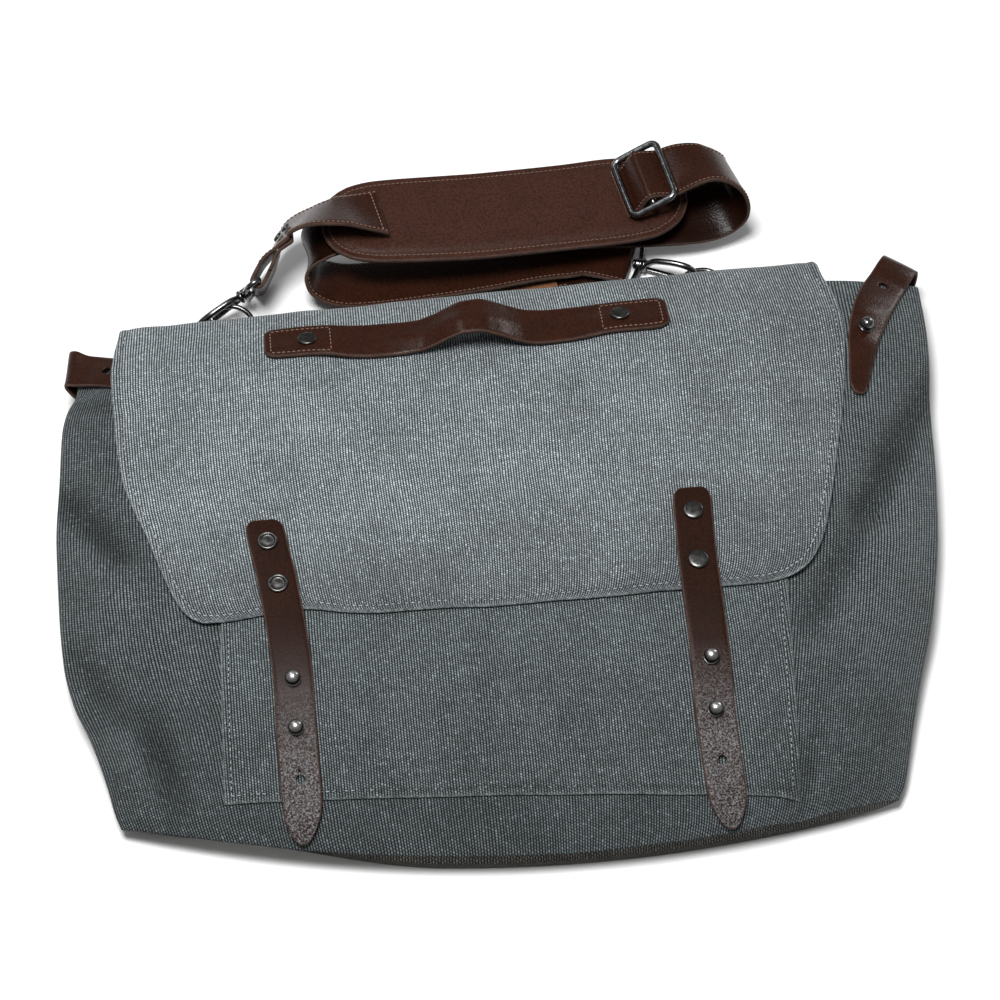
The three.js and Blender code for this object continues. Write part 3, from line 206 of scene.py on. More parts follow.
# Sections of the body from the base to the mouth.
# left, right: reach of the side folds; crown: front height; lift: back off the floor.
SECTION = table(
    "y left right crown left_fold right_fold lift",
    (-174, 218, 208, 20, 11, 10, 0),
    (-166, 221, 213, 26, 12, 11, 0),
    (-150, 224, 218, 33, 14, 13, 0),
    (-120, 229, 226, 41, 17, 16, 0),
    (-90, 234, 234, 47, 19, 18, 0),
    (-60, 241, 243, 50.5, 21, 20, 0),
    (-30, 246, 251, 52, 22, 21, 0),
    (0, 247.5, 258, 53, 23, 22, 0),
    (45, 248, 265, 54, 24, 23, 0),
    (90, 245, 270, 54.5, 25, 24, 0),
    (120, 243, 275, 54.8, 25, 26, 2.4),
    (141, 239, 277, 54.2, 27, 27, 5),
    (152, 234, 277.5, 51, 30, 27, 5.6),
    (172, 231, 278, 44.5, 30, 27, 6.2),
)
FRONT_PROFILE = table(
    "across rise", (0, 1), (0.35, 0.995), (0.6, 0.96), (0.75, 0.88), (0.84, 0.74), (0.92, 0.45), (1, 0)
)
BACK_PROFILE = table("across rise", (0, 0), (0.8, 0), (0.88, 0.18), (0.95, 0.5), (1, 1))
BASE_FOLD = table("down tuck", (0, 0), (0.18, 0.75), (0.34, 1), (0.68, 0.5), (1, 0))

# The base line sags: it is lowest at SAG_X and rises towards both corners.
SAG_X = 45
SAG_LEFT_REACH = 263
SAG_LEFT_RISE = 44
SAG_RIGHT_REACH = 163
SAG_RIGHT_RISE = 18
SAG_TOP = -40

# Dents (negative) and ridges (positive) of the front, each along a line.
CREASES = table(
    "x0 y0 x1 y1 depth spread",
    (270, 104, 214, 10, -15, 10),
    (214, 10, 172, -62, -9, 9),
    (272, 72, 226, -40, 5, 10),
    (-242, 78, -208, 22, -13, 9),
    (-234, 40, -204, -14, 5, 9),
    (-230, 136, -208, 121, -6, 5),
    (-240, -22, -212, -74, -9, 9),
    (-198, -80, -184, -126, -10, 8),
    (-216, -76, -200, -122, 5, 8),
    (-98, 40, -86, -50, -2.6, 18),
    (148, -166, 166, -118, -6, 7),
    (-20, 20, 60, 60, 1.6, 45),
)
# Painted shade in the dents: depth at which a dent is painted fully dark, and the heights between which the
# painted shade sets in. Ridges are painted lighter.
DENT_SHADE_FULL = 11
DENT_SHADE_ABOVE = (14, 22)
DENT_SHADE_LIMITS = (-0.5, 1)
# Share of its depth that a dent has at the ends of its line, and the part of a half wave it follows.
CREASE_ENDS = 0.35
CREASE_WAVE = (0.15, 0.7)
# Soft waves of the washed cloth: length, direction, height and phase.
# The cloth has none under the closing straps.
CALM_X = (-119, 112)
CALM_REACH = 20
# Height and length of the bends that keep the waves from running straight.
WARP_X = (7, 37)
WARP_Y = (6, 41)
RIPPLES = table(
    "wave turn height phase",
    (61, 18, 0.42, 0.4),
    (43, 74, 0.34, 1.9),
    (29, 112, 0.2, 3.1),
    (19, 52, 0.11, 5.2),
    (13, 96, 0.07, 0.9),
)

FLAP_OUTLINE = table(
    "y left right",
    (-38, 152, 148), (-36.5, 163, 158), (-32, 170, 168), (-24, 175.5, 176.5), (-10, 181, 185),
    (8, 186.5, 191.5), (28, 192, 197.5), (48, 199, 203), (71, 205, 209.5), (104, 208, 217),
    (138, 209, 221), (158, 207.5, 220), (174, 204, 215.5),
)
FLAP_HEM = table(
    "x up",
    (-170, 5), (-150, 6.5), (-128, 8), (-106, 9.5), (-85, 6), (-65, 3), (-30, 1.5), (0, 0), (160, 0),
)
# The fold over the mouth and the root sewn to the back.
FLAP_FOLD = table(
    "step reach rise",
    (0, 0, 1), (1, 7, 0.93), (2, 12.5, 0.8), (3, 17, 0.62), (4, 18, 0.43), (5, 15, 0.25),
    (6, 10, 0.1), (7, 2, 0.015), (8, -10, 0), (9, -24, 0),
)
POCKET_TOP = ((-152, 8), (164, 8))
POCKET_BOTTOM = ((-159, -131), (151, -157))

# Closing straps from the tip up: middle line, the places of caps, studs and the spare hole,
# the slit up from that hole, and the profile of the caps.
CLOSURES = {
    "left": {
        "line": table(
            "y x",
            (-156, -118), (-131, -117), (-101, -117), (-72, -116.5), (-11, -121), (16, -125), (29, -126.5),
        ),
        "rivets": {"upper": 14, "lower": -13.5},
        "studs": {"upper": -71.5, "lower": -98},
        "hole": -125,
        "slit": (0, 5.5, 0),
        "cap": CAP_RINGED,
    },
    "right": {
        "line": table(
            "y x",
            (-170.5, 111.3), (-144, 110), (-113, 109.5), (-81, 111), (-21, 112), (11, 113.7), (25, 114.5),
        ),
        "rivets": {"upper": 9, "lower": -22.5},
        "studs": {"upper": -81, "lower": -110},
        "hole": -137,
        "slit": None,
        "cap": CAP_DOMED,
    },
}
CLOSURE_TIP = table("from half", (0, 1.6), (2.5, 4.8), (7, 7.8), (14, 10.2), (24, 11))
CLOSURE_TOP = table("from half", (0, 5), (1, 7.4), (3, 9.6), (6, 10.7), (9, 11))

# Carrying handle along x: middle line, half width, rise of its near and far edges.
HANDLE = table(
    "x y half near far",
    (-119, 151.2, 7, 0, 0), (-117, 151.2, 10.6, 0, 0), (-112, 151.2, 12.2, 0, 0),
    (-98, 151, 12.5, 0, 0), (-88, 150.4, 12.5, 0.3, 0.3), (-80, 149, 12.5, 1.6, 1.4),
    (-68, 146.8, 12.5, 0.9, 1.6), (-56, 145.6, 12.5, 0.2, 1.8), (-40, 145.2, 12.5, 0.2, 1.9),
    (-29, 145.2, 12.5, 1.4, 2.6), (-20, 145.4, 12.5, 5.6, 6.6), (-11, 145.8, 12.5, 11.6, 13),
    (-2, 146, 12.5, 15.4, 18.2), (7, 146, 12.5, 15.6, 19), (16, 145.6, 12.5, 11.6, 15),
    (25, 145, 12.5, 6, 9.2), (34, 144.2, 12.5, 1.8, 5), (43, 144, 12.5, 0.3, 3.6),
    (54, 144.6, 12.5, 0.2, 2.8), (66, 146, 12.5, 0.3, 2), (78, 147.8, 12.6, 0.2, 0.8),
    (91, 149, 12.8, 0, 0), (105, 149.4, 13, 0, 0), (112, 149.6, 12.8, 0, 0),
    (117, 149.8, 10.8, 0, 0), (119, 149.8, 7.5, 0, 0),
)
HANDLE_RIVETS = {"left": (-93.5, 150.8), "right": (90, 149)}
HANDLE_BOXES = {"left": (-115, -80), "right": (79, 114.6)}

# Right side strap on the gusset: middle line and half width, then its turn round the rim.
SIDE_RIGHT = table(
    "x y half",
    (222, 84.5, 2.2), (222.6, 87.5, 4.4), (223.8, 94, 5.8), (226.8, 106, 7.2), (230.4, 120, 8.8),
    (235.4, 134, 10.4), (242.6, 149.5, 11.4), (251, 164, 11.6), (256, 171.5, 11.4),
)
SIDE_RIGHT_HEADING = (0.57, 0.82)
SIDE_RIGHT_STUD = (233.6, 130.5)
SIDE_RIGHT_HOLE = (252, 167)
SIDE_TURN = table(
    "step reach fall",
    (0, 0, 0), (1, 10, 0.03), (2, 17, 0.1), (3, 21.5, 0.28), (4, 22.5, 0.5), (5, 20, 0.74),
    (6, 14, 0.93), (7, 4, 1), (8, -12, 1),
)
# Left side strap: from the front round the side fold and back under the gusset.
SIDE_LEFT_FRONT = (-199, -225)
SIDE_LEFT_TURN = table(
    "step out above",
    (0, -2.5, 5), (1, 1, 3.2), (2, 3.2, 0.8), (3, 3.4, -2), (4, 1.6, -5.2), (5, -2.6, -9.2),
)
SIDE_LEFT_BACK = (-222, -206)

# Shoulder pad along x: middle line, half width and height of its middle.
PAD = table(
    "x y half z",
    (-79, 247, 6, 39.4), (-77, 247, 13, 39.4), (-71, 247, 21.5, 39.4), (-60, 247, 28, 39.2),
    (-45, 247, 31, 38.7), (-20, 247, 32, 37.5), (10, 247.5, 32.5, 35.5), (40, 249, 32.5, 34),
    (70, 251, 32.5, 32.5), (97, 253, 33, 31.5), (120, 254, 31, 31), (134, 254.5, 25, 31),
    (142, 255, 17, 31), (146, 255, 7, 31),
)
PAD_HALF_THICK = 2.6
PAD_EDGE_HALF_THICK = 1.5
PAD_SEAM = 4.2
PAD_GROOVE = 0.45
PAD_GROOVE_WIDE = 1.1
PAD_THREAD_RISE = 0.05
PAD_STEP = 2.4
PAD_GRID_HALF = 32

# Long strap from the pad through the slider, in three layers, to the right hook.
LONG_ROUTE = (
    (104.5, 255, 35.4), (107.4, 255.5, 35.8), (110.8, 256, 37.9), (113.4, 256.5, 42.6),
    (116.1, 257, 47.5), (118, 257.3, 49.2), (120.2, 257.7, 49.5), (125.5, 258.4, 48.5),
    (131, 259, 47.5), (136.5, 259.2, 49), (144, 259, 52), (155, 258.2, 54.8),
    (165, 257.2, 53), (173, 256, 46), (176, 254.5, 36.5), (174, 252.5, 27),
    (167, 250, 21), (156, 247.5, 18.5), (140, 246, 18), (100, 246, 19),
    (50, 247, 22.5), (0, 247.5, 27.5), (-45, 248, 32.5), (-66, 247.5, 34.4),
    (-79, 244.5, 32), (-86.5, 240, 26), (-88, 235, 19), (-84, 229.5, 12.5),
    (-74, 225, 8.6), (-58, 223.5, 7.4), (-20, 225, 7.2), (20, 228.5, 7),
    (55, 233, 7), (81, 234.5, 7.6),
)
# Direction of the strap's width at stops along its route, two stops for each row of the route.
LONG_ACROSS = table(
    "stop x y z",
    (0, -0.17, 0.985, 0), (18, -0.17, 0.985, 0), (23, -0.22, 0.93, -0.26), (28, -0.28, 0.92, 0.08),
    (32, -0.25, 0.9, 0.3), (40, 0, 1, 0), (50, 0, 1, 0), (56, 0, 1, -0.14), (100, 0, 1, -0.14),
)
LONG_RETURN = ((83, 232.8, 1.8), (60, 230, 1.6), (20, 225.5, 1.6), (-20, 222, 1.6), (-62, 220.5, 1.6))

# Short strap from the pad to the left hook. spin: 0 flat, 90 on edge.
TAIL_ROUTE = table(
    "x y z spin",
    (-42, 249.3, 44.4, 4), (-56, 247.5, 49, 17), (-71, 246.4, 53.2, 27), (-86.5, 247.2, 49, 35),
    (-96, 246.3, 40.8, 42), (-103.5, 241.8, 34.8, 53), (-109.5, 235.3, 29.5, 64), (-115.5, 228, 24.5, 73),
)
TAIL_STEPS = 3
# Rows before the hook from which the strap is doubled, turns to the hook's bar, opens and spreads.
TAIL_DOUBLED = 8
TAIL_TO_HOOK = 8
TAIL_OPENS = 12
TAIL_SPREADS = 4
TAIL_APART = 1.5
TAIL_RIVETS = {"upper": 8, "lower": 6}
TAIL_RIVET_SEAT = 0.6
TAIL_RIVET_RADIUS = 3.2
TAIL_SEAM_RING = 3

# Snap hooks: where the strap bends round the loop, where the claw ends, which way is up,
# and the direction of the loop's straight bar.
HOOKS = {
    "left": {
        "bar": (-120.5, 220.5, 21),
        "end": (-163.5, 198, 9),
        "up": (-0.09, -0.38, 0.92),
        "across": (-0.055, -0.527, 0.848),
    },
    "right": {
        "bar": (104.3, 225.8, 5.4),
        "end": (152.5, 206.5, 10.4),
        "up": (0, 0, 1),
        "across": (-0.372, -0.928, 0),
    },
}
LOOP_PATH = ((0, -21), (0, -10), (0, 10), (0, 21), (5.8, 21), (9.8, 7), (9.8, -7), (5.8, -21))
CLAW_PATH = (
    (12.7, 0), (16.2, 2.8), (19.8, 5.6), (27, 6.8), (35, 6.8),
    (41.5, 5), (45, 0.5), (43.8, -4), (40, -6.6), (35, -6.8),
)
GATE_PATH = ((14.9, -3.4), (17, -3.8), (25.5, -5.2), (34.5, -6.8))
# Turned swivel parts along the hook: rows of radius and place.
SWIVEL_PIN = (
    (2.4, 6.2), (3.2, 6.6), (3.2, 7.2), (2.8, 7.6), (1.9, 7.7), (1.9, 12.1), (3.6, 12.1), (4.2, 12.6),
    (4.2, 13.7), (3.4, 14.4), (2.2, 15.2),
)
SWIVEL_BOSS = (
    (2.3, 7.9), (3.5, 7.9), (4, 8.4), (3.7, 9.2), (3.7, 10.6), (4, 11.3), (3.5, 11.8), (2.3, 11.8),
)

# D-rings: middle of the straight bar and how far the round side is tipped up.
RINGS = {"left": (-140, 193.5, 4.2, 34), "right": (149.4, 193.5, 4.2, 9)}
RING_PATH = (
    (0, 0), (8, 0), (15, 0.6), (15.2, 7), (12, 14.5), (6, 19), (0, 20),
    (-6, 19), (-12, 14.5), (-15.2, 7), (-15, 0.6), (-8, 0),
)

# Slider frame: middle, the two frame directions and half sizes.
SLIDER_MIDDLE = (119.5, 257.5, 45.6)
SLIDER_ALONG = (-0.17, 0.985, 0)
SLIDER_ACROSS = (0.89, 0.155, 0.43)
SLIDER_HALF_ALONG = 21.5
SLIDER_HALF_ACROSS = 14.6
SLIDER_CORNER = 4.5

# Studio: lights with place, size and power in metres and watts, and the floor.
LIGHTS = (
    ("key", (-0.2, -0.12, 1.6), 0.5, 34),
    ("back", (-0.7, 0.9, 1.3), 0.4, 3),
    ("window", (1.1, 0.85, 0.4), 0.3, 3),
)
WORLD_LIGHT = 0.22
FLOOR_SIZE = 8
FLOOR_Z = -0.0004
FLOOR_TONES = ((0.86, 0.86, 0.86), (0.83, 0.83, 0.83))


# Curves and grids
def curve(rows, key, column):
    """Smooth curve through one column of a table, straight beyond its ends."""
    at = rows[key]
    value = rows[column]
    rate = np.diff(value) / np.diff(at)
    both = rate[:-1] + rate[1:]
    same = rate[:-1] * rate[1:] > 0
    inner = np.where(same, 2 * rate[:-1] * rate[1:] / np.where(both == 0, 1, both), 0)
    slope = np.concatenate([rate[:1], inner, rate[-1:]])

    def evaluate(x):
        x = np.asarray(x, float)
        i = np.clip(np.searchsorted(at, x, side="right") - 1, 0, len(at) - 2)
        span = at[i + 1] - at[i]
        t = np.clip((x - at[i]) / span, 0, 1)
        u = 1 - t
        ends = value[i] * u * u * (1 + 2 * t) + value[i + 1] * t * t * (3 - 2 * t)
        inside = ends + span * (slope[i] * t * u * u - slope[i + 1] * t * t * u)
        before = np.minimum(x - at[0], 0) * slope[0]
        after = np.maximum(x - at[-1], 0) * slope[-1]
        return inside + before + after

    return evaluate


def curves(rows, key, *columns):
    return [curve(rows, key, column) for column in columns]


def through(points, per_span, closed=False):
    """Centripetal curve through points, with the same number of steps in each span."""
    p = np.asarray(points, float)
    spans = len(p) if closed else len(p) - 1
    if closed:
        p = np.concatenate([p[-1:], p, p[:2]])
    else:
        p = np.concatenate([2 * p[:1] - p[1:2], p, 2 * p[-1:] - p[-2:-1]])
    a, b, c, d = (p[k:k + spans] for k in range(4))

    def gap(start, end):
        return np.maximum(np.linalg.norm((end - start)[:, :3], axis=1) ** 0.5, 1e-4)[:, None]

    ab, bc, cd = gap(a, b), gap(b, c), gap(c, d)
    leave = ((b - a) / ab - (c - a) / (ab + bc) + (c - b) / bc) * bc
    arrive = ((c - b) / bc - (d - b) / (bc + cd) + (d - c) / cd) * bc
    t = (np.arange(per_span) / per_span)[None, :, None]
    b, c, leave, arrive = (part[:, None, :] for part in (b, c, leave, arrive))
    ends = b * (2 * t**3 - 3 * t**2 + 1) + c * (3 * t**2 - 2 * t**3)
    line = (ends + leave * (t**3 - 2 * t**2 + t) + arrive * (t**3 - t**2)).reshape(-1, p.shape[1])
    return line if closed else np.concatenate([line, p[-2:-1]])


def smooth(start, end, at):
    t = np.clip((np.asarray(at, float) - start) / (end - start), 0, 1)
    return t * t * (3 - 2 * t)


def bell(off, wide):
    return np.exp(-((off / wide) ** 2))


def lengths(line):
    """Distance along a line of points to each of them."""
    return np.concatenate([[0], np.cumsum(np.linalg.norm(np.diff(line, axis=0), axis=1))])


def near_line(x, y, x0, y0, x1, y1):
    """Share of a plan line at which it is nearest to each point, and the distance there."""
    dx = x1 - x0
    dy = y1 - y0
    share = np.clip(((x - x0) * dx + (y - y0) * dy) / max(dx * dx + dy * dy, 1e-9), 0, 1)
    return share, np.hypot(x - x0 - share * dx, y - y0 - share * dy)


def stacked(*parts):
    """Points from their coordinates, given apart."""
    return np.stack(np.broadcast_arrays(*parts), -1)


def unit(v):
    v = np.asarray(v, float)
    return v / np.maximum(np.linalg.norm(v, axis=-1, keepdims=True), 1e-9)


def quads(ids):
    return stacked(ids[:-1, :-1], ids[:-1, 1:], ids[1:, 1:], ids[1:, :-1]).reshape(-1, 4)


def normals_of(grid):
    return unit(np.cross(np.gradient(grid, axis=1), np.gradient(grid, axis=0)))


def spread(length, step, edge=EDGE_STEPS[:4]):
    """Places along a length, close together at both ends so that the edges come out round."""
    edge = np.array(edge)
    inner = np.linspace(edge[-1], length - edge[-1], max(3, int(length / step)))
    return np.concatenate([edge[:-1], inner, length - edge[-2::-1]])


def rounded(distance, radius):
    """Height of a round edge, from 0 at the rim to 1 at the radius and beyond."""
    t = np.clip(distance / radius, 0, 1)
    return np.sqrt(1 - (1 - t) ** 2)


# Meshes
def make(name, points, faces, materials, cloth=None, body="bag"):
    """Mesh object from groups of faces, each group with the number of its material."""
    volume = 0.0
    for group, _ in faces:
        for k in range(1, group.shape[1] - 1):
            turn = np.cross(points[group[:, k]], points[group[:, k + 1]])
            volume += float(np.einsum("ij,ij->", points[group[:, 0]], turn))
    corners = []
    slots = []
    for group, slot in faces:
        corners += (group if volume > 0 else group[:, ::-1]).tolist()
        slots += [slot] * len(group)
    mesh = bpy.data.meshes.new(name)
    mesh.from_pydata((points * MM).tolist(), [], corners)
    for material in materials:
        mesh.materials.append(material)
    mesh.polygons.foreach_set("material_index", slots)
    mesh.polygons.foreach_set("use_smooth", [True] * len(corners))
    if cloth is not None:
        layer = mesh.attributes.new("cloth", "FLOAT_VECTOR", "POINT")
        layer.data.foreach_set("vector", np.asarray(cloth, np.float32).ravel())
    mesh.update()
    piece = bpy.data.objects.new(name, mesh)
    bpy.context.scene.collection.objects.link(piece)
    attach(piece, body)
    return piece


def stand_for(piece, node):
    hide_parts(node)
    return piece


def pillow(middle, up, down, cloth):
    """Closed plate about a grid of middle points. up and down are zero along its rim."""
    rows, columns = up.shape
    normal = normals_of(middle)
    top = middle + normal * up[..., None]
    below = middle - normal * down[..., None]
    top_ids = np.arange(rows * columns).reshape(rows, columns)
    below_ids = top_ids.copy()
    inner = (rows - 2) * (columns - 2)
    below_ids[1:-1, 1:-1] = rows * columns + np.arange(inner).reshape(rows - 2, columns - 2)
    points = np.concatenate([top.reshape(-1, 3), below[1:-1, 1:-1].reshape(-1, 3)])
    sheet = np.concatenate([cloth.reshape(-1, 3), cloth[1:-1, 1:-1].reshape(-1, 3)])
    return points, sheet, quads(top_ids), quads(below_ids)[:, ::-1]


def rim_groups(sheet, top, below, rim):
    """Faces of a plate with their materials: 0 top, 1 underside, 2 nearer to the edge than rim."""
    groups = []
    for faces, slot in ((top, 0), (below, 1)):
        on_rim = sheet[faces, 2].mean(axis=1) < rim
        groups += [(faces[~on_rim], slot), (faces[on_rim], 2)]
    return groups


def plate(name, middle, half_thick, cloth, materials):
    """Plate with a round rim. materials: top, underside, raw rim."""
    half = half_thick * rounded(cloth[..., 2], EDGE_ROUND)
    points, sheet, top, below = pillow(middle, half, half, cloth)
    return make(name, points, rim_groups(sheet, top, below, EDGE_ROUND * 0.9), materials, sheet)


def sweep(name, rings, closed, materials, slots=None, cloth=None, body="bag"):
    """Mesh swept through rings of points, closed on itself or capped at its ends."""
    count, sides = rings.shape[:2]
    ids = np.arange(count * sides).reshape(count, sides)
    ids = np.concatenate([ids, ids[:, :1]], axis=1)
    if closed:
        ids = np.concatenate([ids, ids[:1]])
    faces = quads(ids)
    side_slots = np.broadcast_to(0 if slots is None else slots, (len(ids) - 1, sides)).ravel()
    groups = [(faces[side_slots == slot], int(slot)) for slot in np.unique(side_slots)]
    if not closed:
        groups.append((ids[:1, :-1][:, ::-1], groups[-1][1]))
        groups.append((ids[-1:, :-1], groups[-1][1]))
    return make(name, rings.reshape(-1, 3), groups, materials, cloth, body)


def tube_rings(path, normal, radius, closed, sides):
    ahead = np.roll(path, -1, axis=0) - np.roll(path, 1, axis=0) if closed else np.gradient(path, axis=0)
    side = unit(np.cross(ahead, normal))
    angle = np.arange(sides) * tau / sides
    radius = np.broadcast_to(radius, len(path))[:, None, None]
    around = np.cos(angle)[None, :, None] * np.asarray(normal)[None, None]
    around = around + np.sin(angle)[None, :, None] * side[:, None]
    return path[:, None] + radius * around


def lathe_rings(profile, base, axis, sides):
    profile = np.asarray(profile, float)
    axis = unit(axis)
    hint = (0, 0, 1) if abs(axis[2]) < 0.9 else (0, 1, 0)
    u = unit(np.cross(axis, hint))
    v = np.cross(axis, u)
    angle = np.arange(sides) * tau / sides
    around = np.cos(angle)[:, None] * u + np.sin(angle)[:, None] * v
    return np.asarray(base) + profile[:, 1, None, None] * axis + profile[:, 0, None, None] * around


def joined(name, *pieces):
    """One object from several, without change to their shapes."""
    with bpy.context.temp_override(
        active_object=pieces[0], object=pieces[0], selected_editable_objects=list(pieces)
    ):
        bpy.ops.object.join()
    pieces[0].name = name
    return pieces[0]


# Stitches: rows of small threads that dip into the surface at both ends.
STITCH_PITCH = 2.8
STITCH_SHARE = 0.74
STITCH_RADIUS = 0.3
STITCH_SIDES = 6
STITCH_SHAPE = table(
    "at thick lift", (-1, 0.3, -0.9), (-0.75, 0.85, 0.1), (0, 1, 0.5), (0.75, 0.85, 0.1), (1, 0.3, -0.9)
)
# Pitch and radius of the threads on canvas.
FLAP_THREAD = (3.6, 0.36)
POCKET_THREAD = (3.4, 0.28)
FLAP_THREAD_SINK = 0.35
POCKET_THREAD_SINK = 0.3


def stitch_mesh(path, normal, pitch, radius):
    """Points of one row of stitches along a path on a surface with the given normals."""
    length = lengths(path)
    count = max(1, int(length[-1] / pitch))
    middle = (np.arange(count) + 0.5) * length[-1] / count
    at = middle[:, None] + STITCH_SHAPE["at"][None] * pitch * STITCH_SHARE / 2

    def along(values):
        return np.stack([np.interp(at, length, values[:, k]) for k in range(3)], -1)

    centre = along(path)
    up = unit(along(normal))
    ahead = unit(np.gradient(centre, axis=1))
    side = unit(np.cross(ahead, up))
    angle = np.arange(STITCH_SIDES) * tau / STITCH_SIDES
    around = np.cos(angle)[:, None] * up[:, :, None] + np.sin(angle)[:, None] * side[:, :, None]
    lifted = centre + up * (STITCH_SHAPE["lift"] * radius)[None, :, None]
    return lifted[:, :, None] + around * (STITCH_SHAPE["thick"] * radius)[None, :, None, None]


def stitches(name, rows, material, slot, pitch=STITCH_PITCH, radius=STITCH_RADIUS):
    """All stitches of a piece as one mesh. rows: pairs of path and normals."""
    rings = np.concatenate([stitch_mesh(path, normal, pitch, radius) for path, normal in rows])
    count, stations, sides = rings.shape[:3]
    ids = np.arange(count * stations * sides).reshape(count, stations, sides)
    wrap = np.concatenate([ids, ids[:, :, :1]], axis=2)
    faces = np.concatenate([quads(one) for one in wrap])
    caps = np.concatenate([ids[:, 0, ::-1], ids[:, -1]])
    piece = make(name, rings.reshape(-1, 3), [(faces, 0), (caps, 0)], [material])
    return piece


# Materials
class Value:
    """Output of a node. Sums, differences and products are further nodes."""

    def __init__(self, shader, socket):
        self.shader = shader
        self.socket = socket

    def __add__(self, other):
        return self.shader.math("ADD", self, other)

    def __sub__(self, other):
        return self.shader.math("SUBTRACT", self, other)

    def __mul__(self, other):
        return self.shader.math("MULTIPLY", self, other)


class Shader:
    """A node material that is built step by step on its Principled shader."""

    def __init__(self, name, **constants):
        self.material = bpy.data.materials.new(name)
        self.material.use_nodes = True
        self.tree = self.material.node_tree
        self.final(**constants)

    def final(self, **inputs):
        """Sets inputs of the Principled shader, named in lower case with underscores."""
        for key, value in inputs.items():
            socket = key.replace("_", " ").title().replace("Ior", "IOR")
            self.put(self.tree.nodes["Principled BSDF"].inputs[socket], value)
        return self.material

    def add(self, kind, inputs, output=0, **settings):
        """Output of a new node."""
        node = self.tree.nodes.new(kind)
        for key, value in settings.items():
            setattr(node, key, value)
        for socket, value in inputs.items():
            self.put(node.inputs[socket], value)
        return Value(self, node.outputs[output])

    def put(self, socket, value):
        if isinstance(value, Value):
            self.tree.links.new(value.socket, socket)
        else:
            socket.default_value = value

    def part(self, vector, k):
        return self.add("ShaderNodeSeparateXYZ", {0: vector}, k)

    def cloth(self):
        """Place on the cloth in millimetres: across, along and distance from the edge."""
        vector = self.add("ShaderNodeAttribute", {}, "Vector", attribute_name="cloth")
        return vector, *(self.part(vector, k) for k in range(3))

    def place(self):
        """Place on the object in millimetres."""
        vector = self.add("ShaderNodeTexCoord", {}, "Object")
        return self.add("ShaderNodeVectorMath", {0: vector, 3: 1 / MM}, operation="SCALE")

    def math(self, operation, a, b=0.0):
        return self.add("ShaderNodeMath", {0: a, 1: b}, operation=operation)

    def arch(self, value):
        """One arch of a sine over each whole step of a value."""
        return self.math("SINE", self.math("FRACT", value) * (tau / 2))

    def scaled(self, vector, x, y, z):
        return self.add("ShaderNodeVectorMath", {0: vector, 1: (x, y, z)}, operation="MULTIPLY")

    def noise(self, vector, size, detail=2.0, rough=0.5):
        inputs = {"Vector": vector, "Scale": 1 / size, "Detail": detail, "Roughness": rough}
        return self.add("ShaderNodeTexNoise", inputs, "Fac")

    def cells(self, vector, size):
        inputs = {"Vector": vector, "Scale": 1 / size}
        return self.add("ShaderNodeTexVoronoi", inputs, "Distance", feature="SMOOTH_F1")

    def fit(self, value, low, high, to_low=0.0, to_high=1.0):
        return self.add("ShaderNodeMapRange", {0: value, 1: low, 2: high, 3: to_low, 4: to_high})

    def mix(self, share, a, b):
        a = (*a, 1) if isinstance(a, tuple) else a
        b = (*b, 1) if isinstance(b, tuple) else b
        return self.add("ShaderNodeMix", {0: share, 6: a, 7: b}, 2, data_type="RGBA")

    def skin(self, colour, rough, height, depth, strength):
        """The finished material, with its colour, roughness and fine relief."""
        inputs = {"Height": height, "Distance": depth * MM, "Strength": strength}
        relief = self.add("ShaderNodeBump", inputs, "Normal")
        return self.final(base_color=colour, roughness=rough, normal=relief)


RIB_PITCH = 1.5
PICK_PITCH = 1.4
WEAVE_SPREAD = 0.84
GRAIN_SIZE = 1.2
# Painted sheen: grey of the closing straps' pebbled leather.
PEBBLE_SHEEN = (0.205, 0.205, 0.21)
CREVICE = (0.006, 0.002, 0.001)
# Painted shade of metal that faces away from the light.
PAINTED_METAL_SHADE = (0.035, 0.034, 0.033)


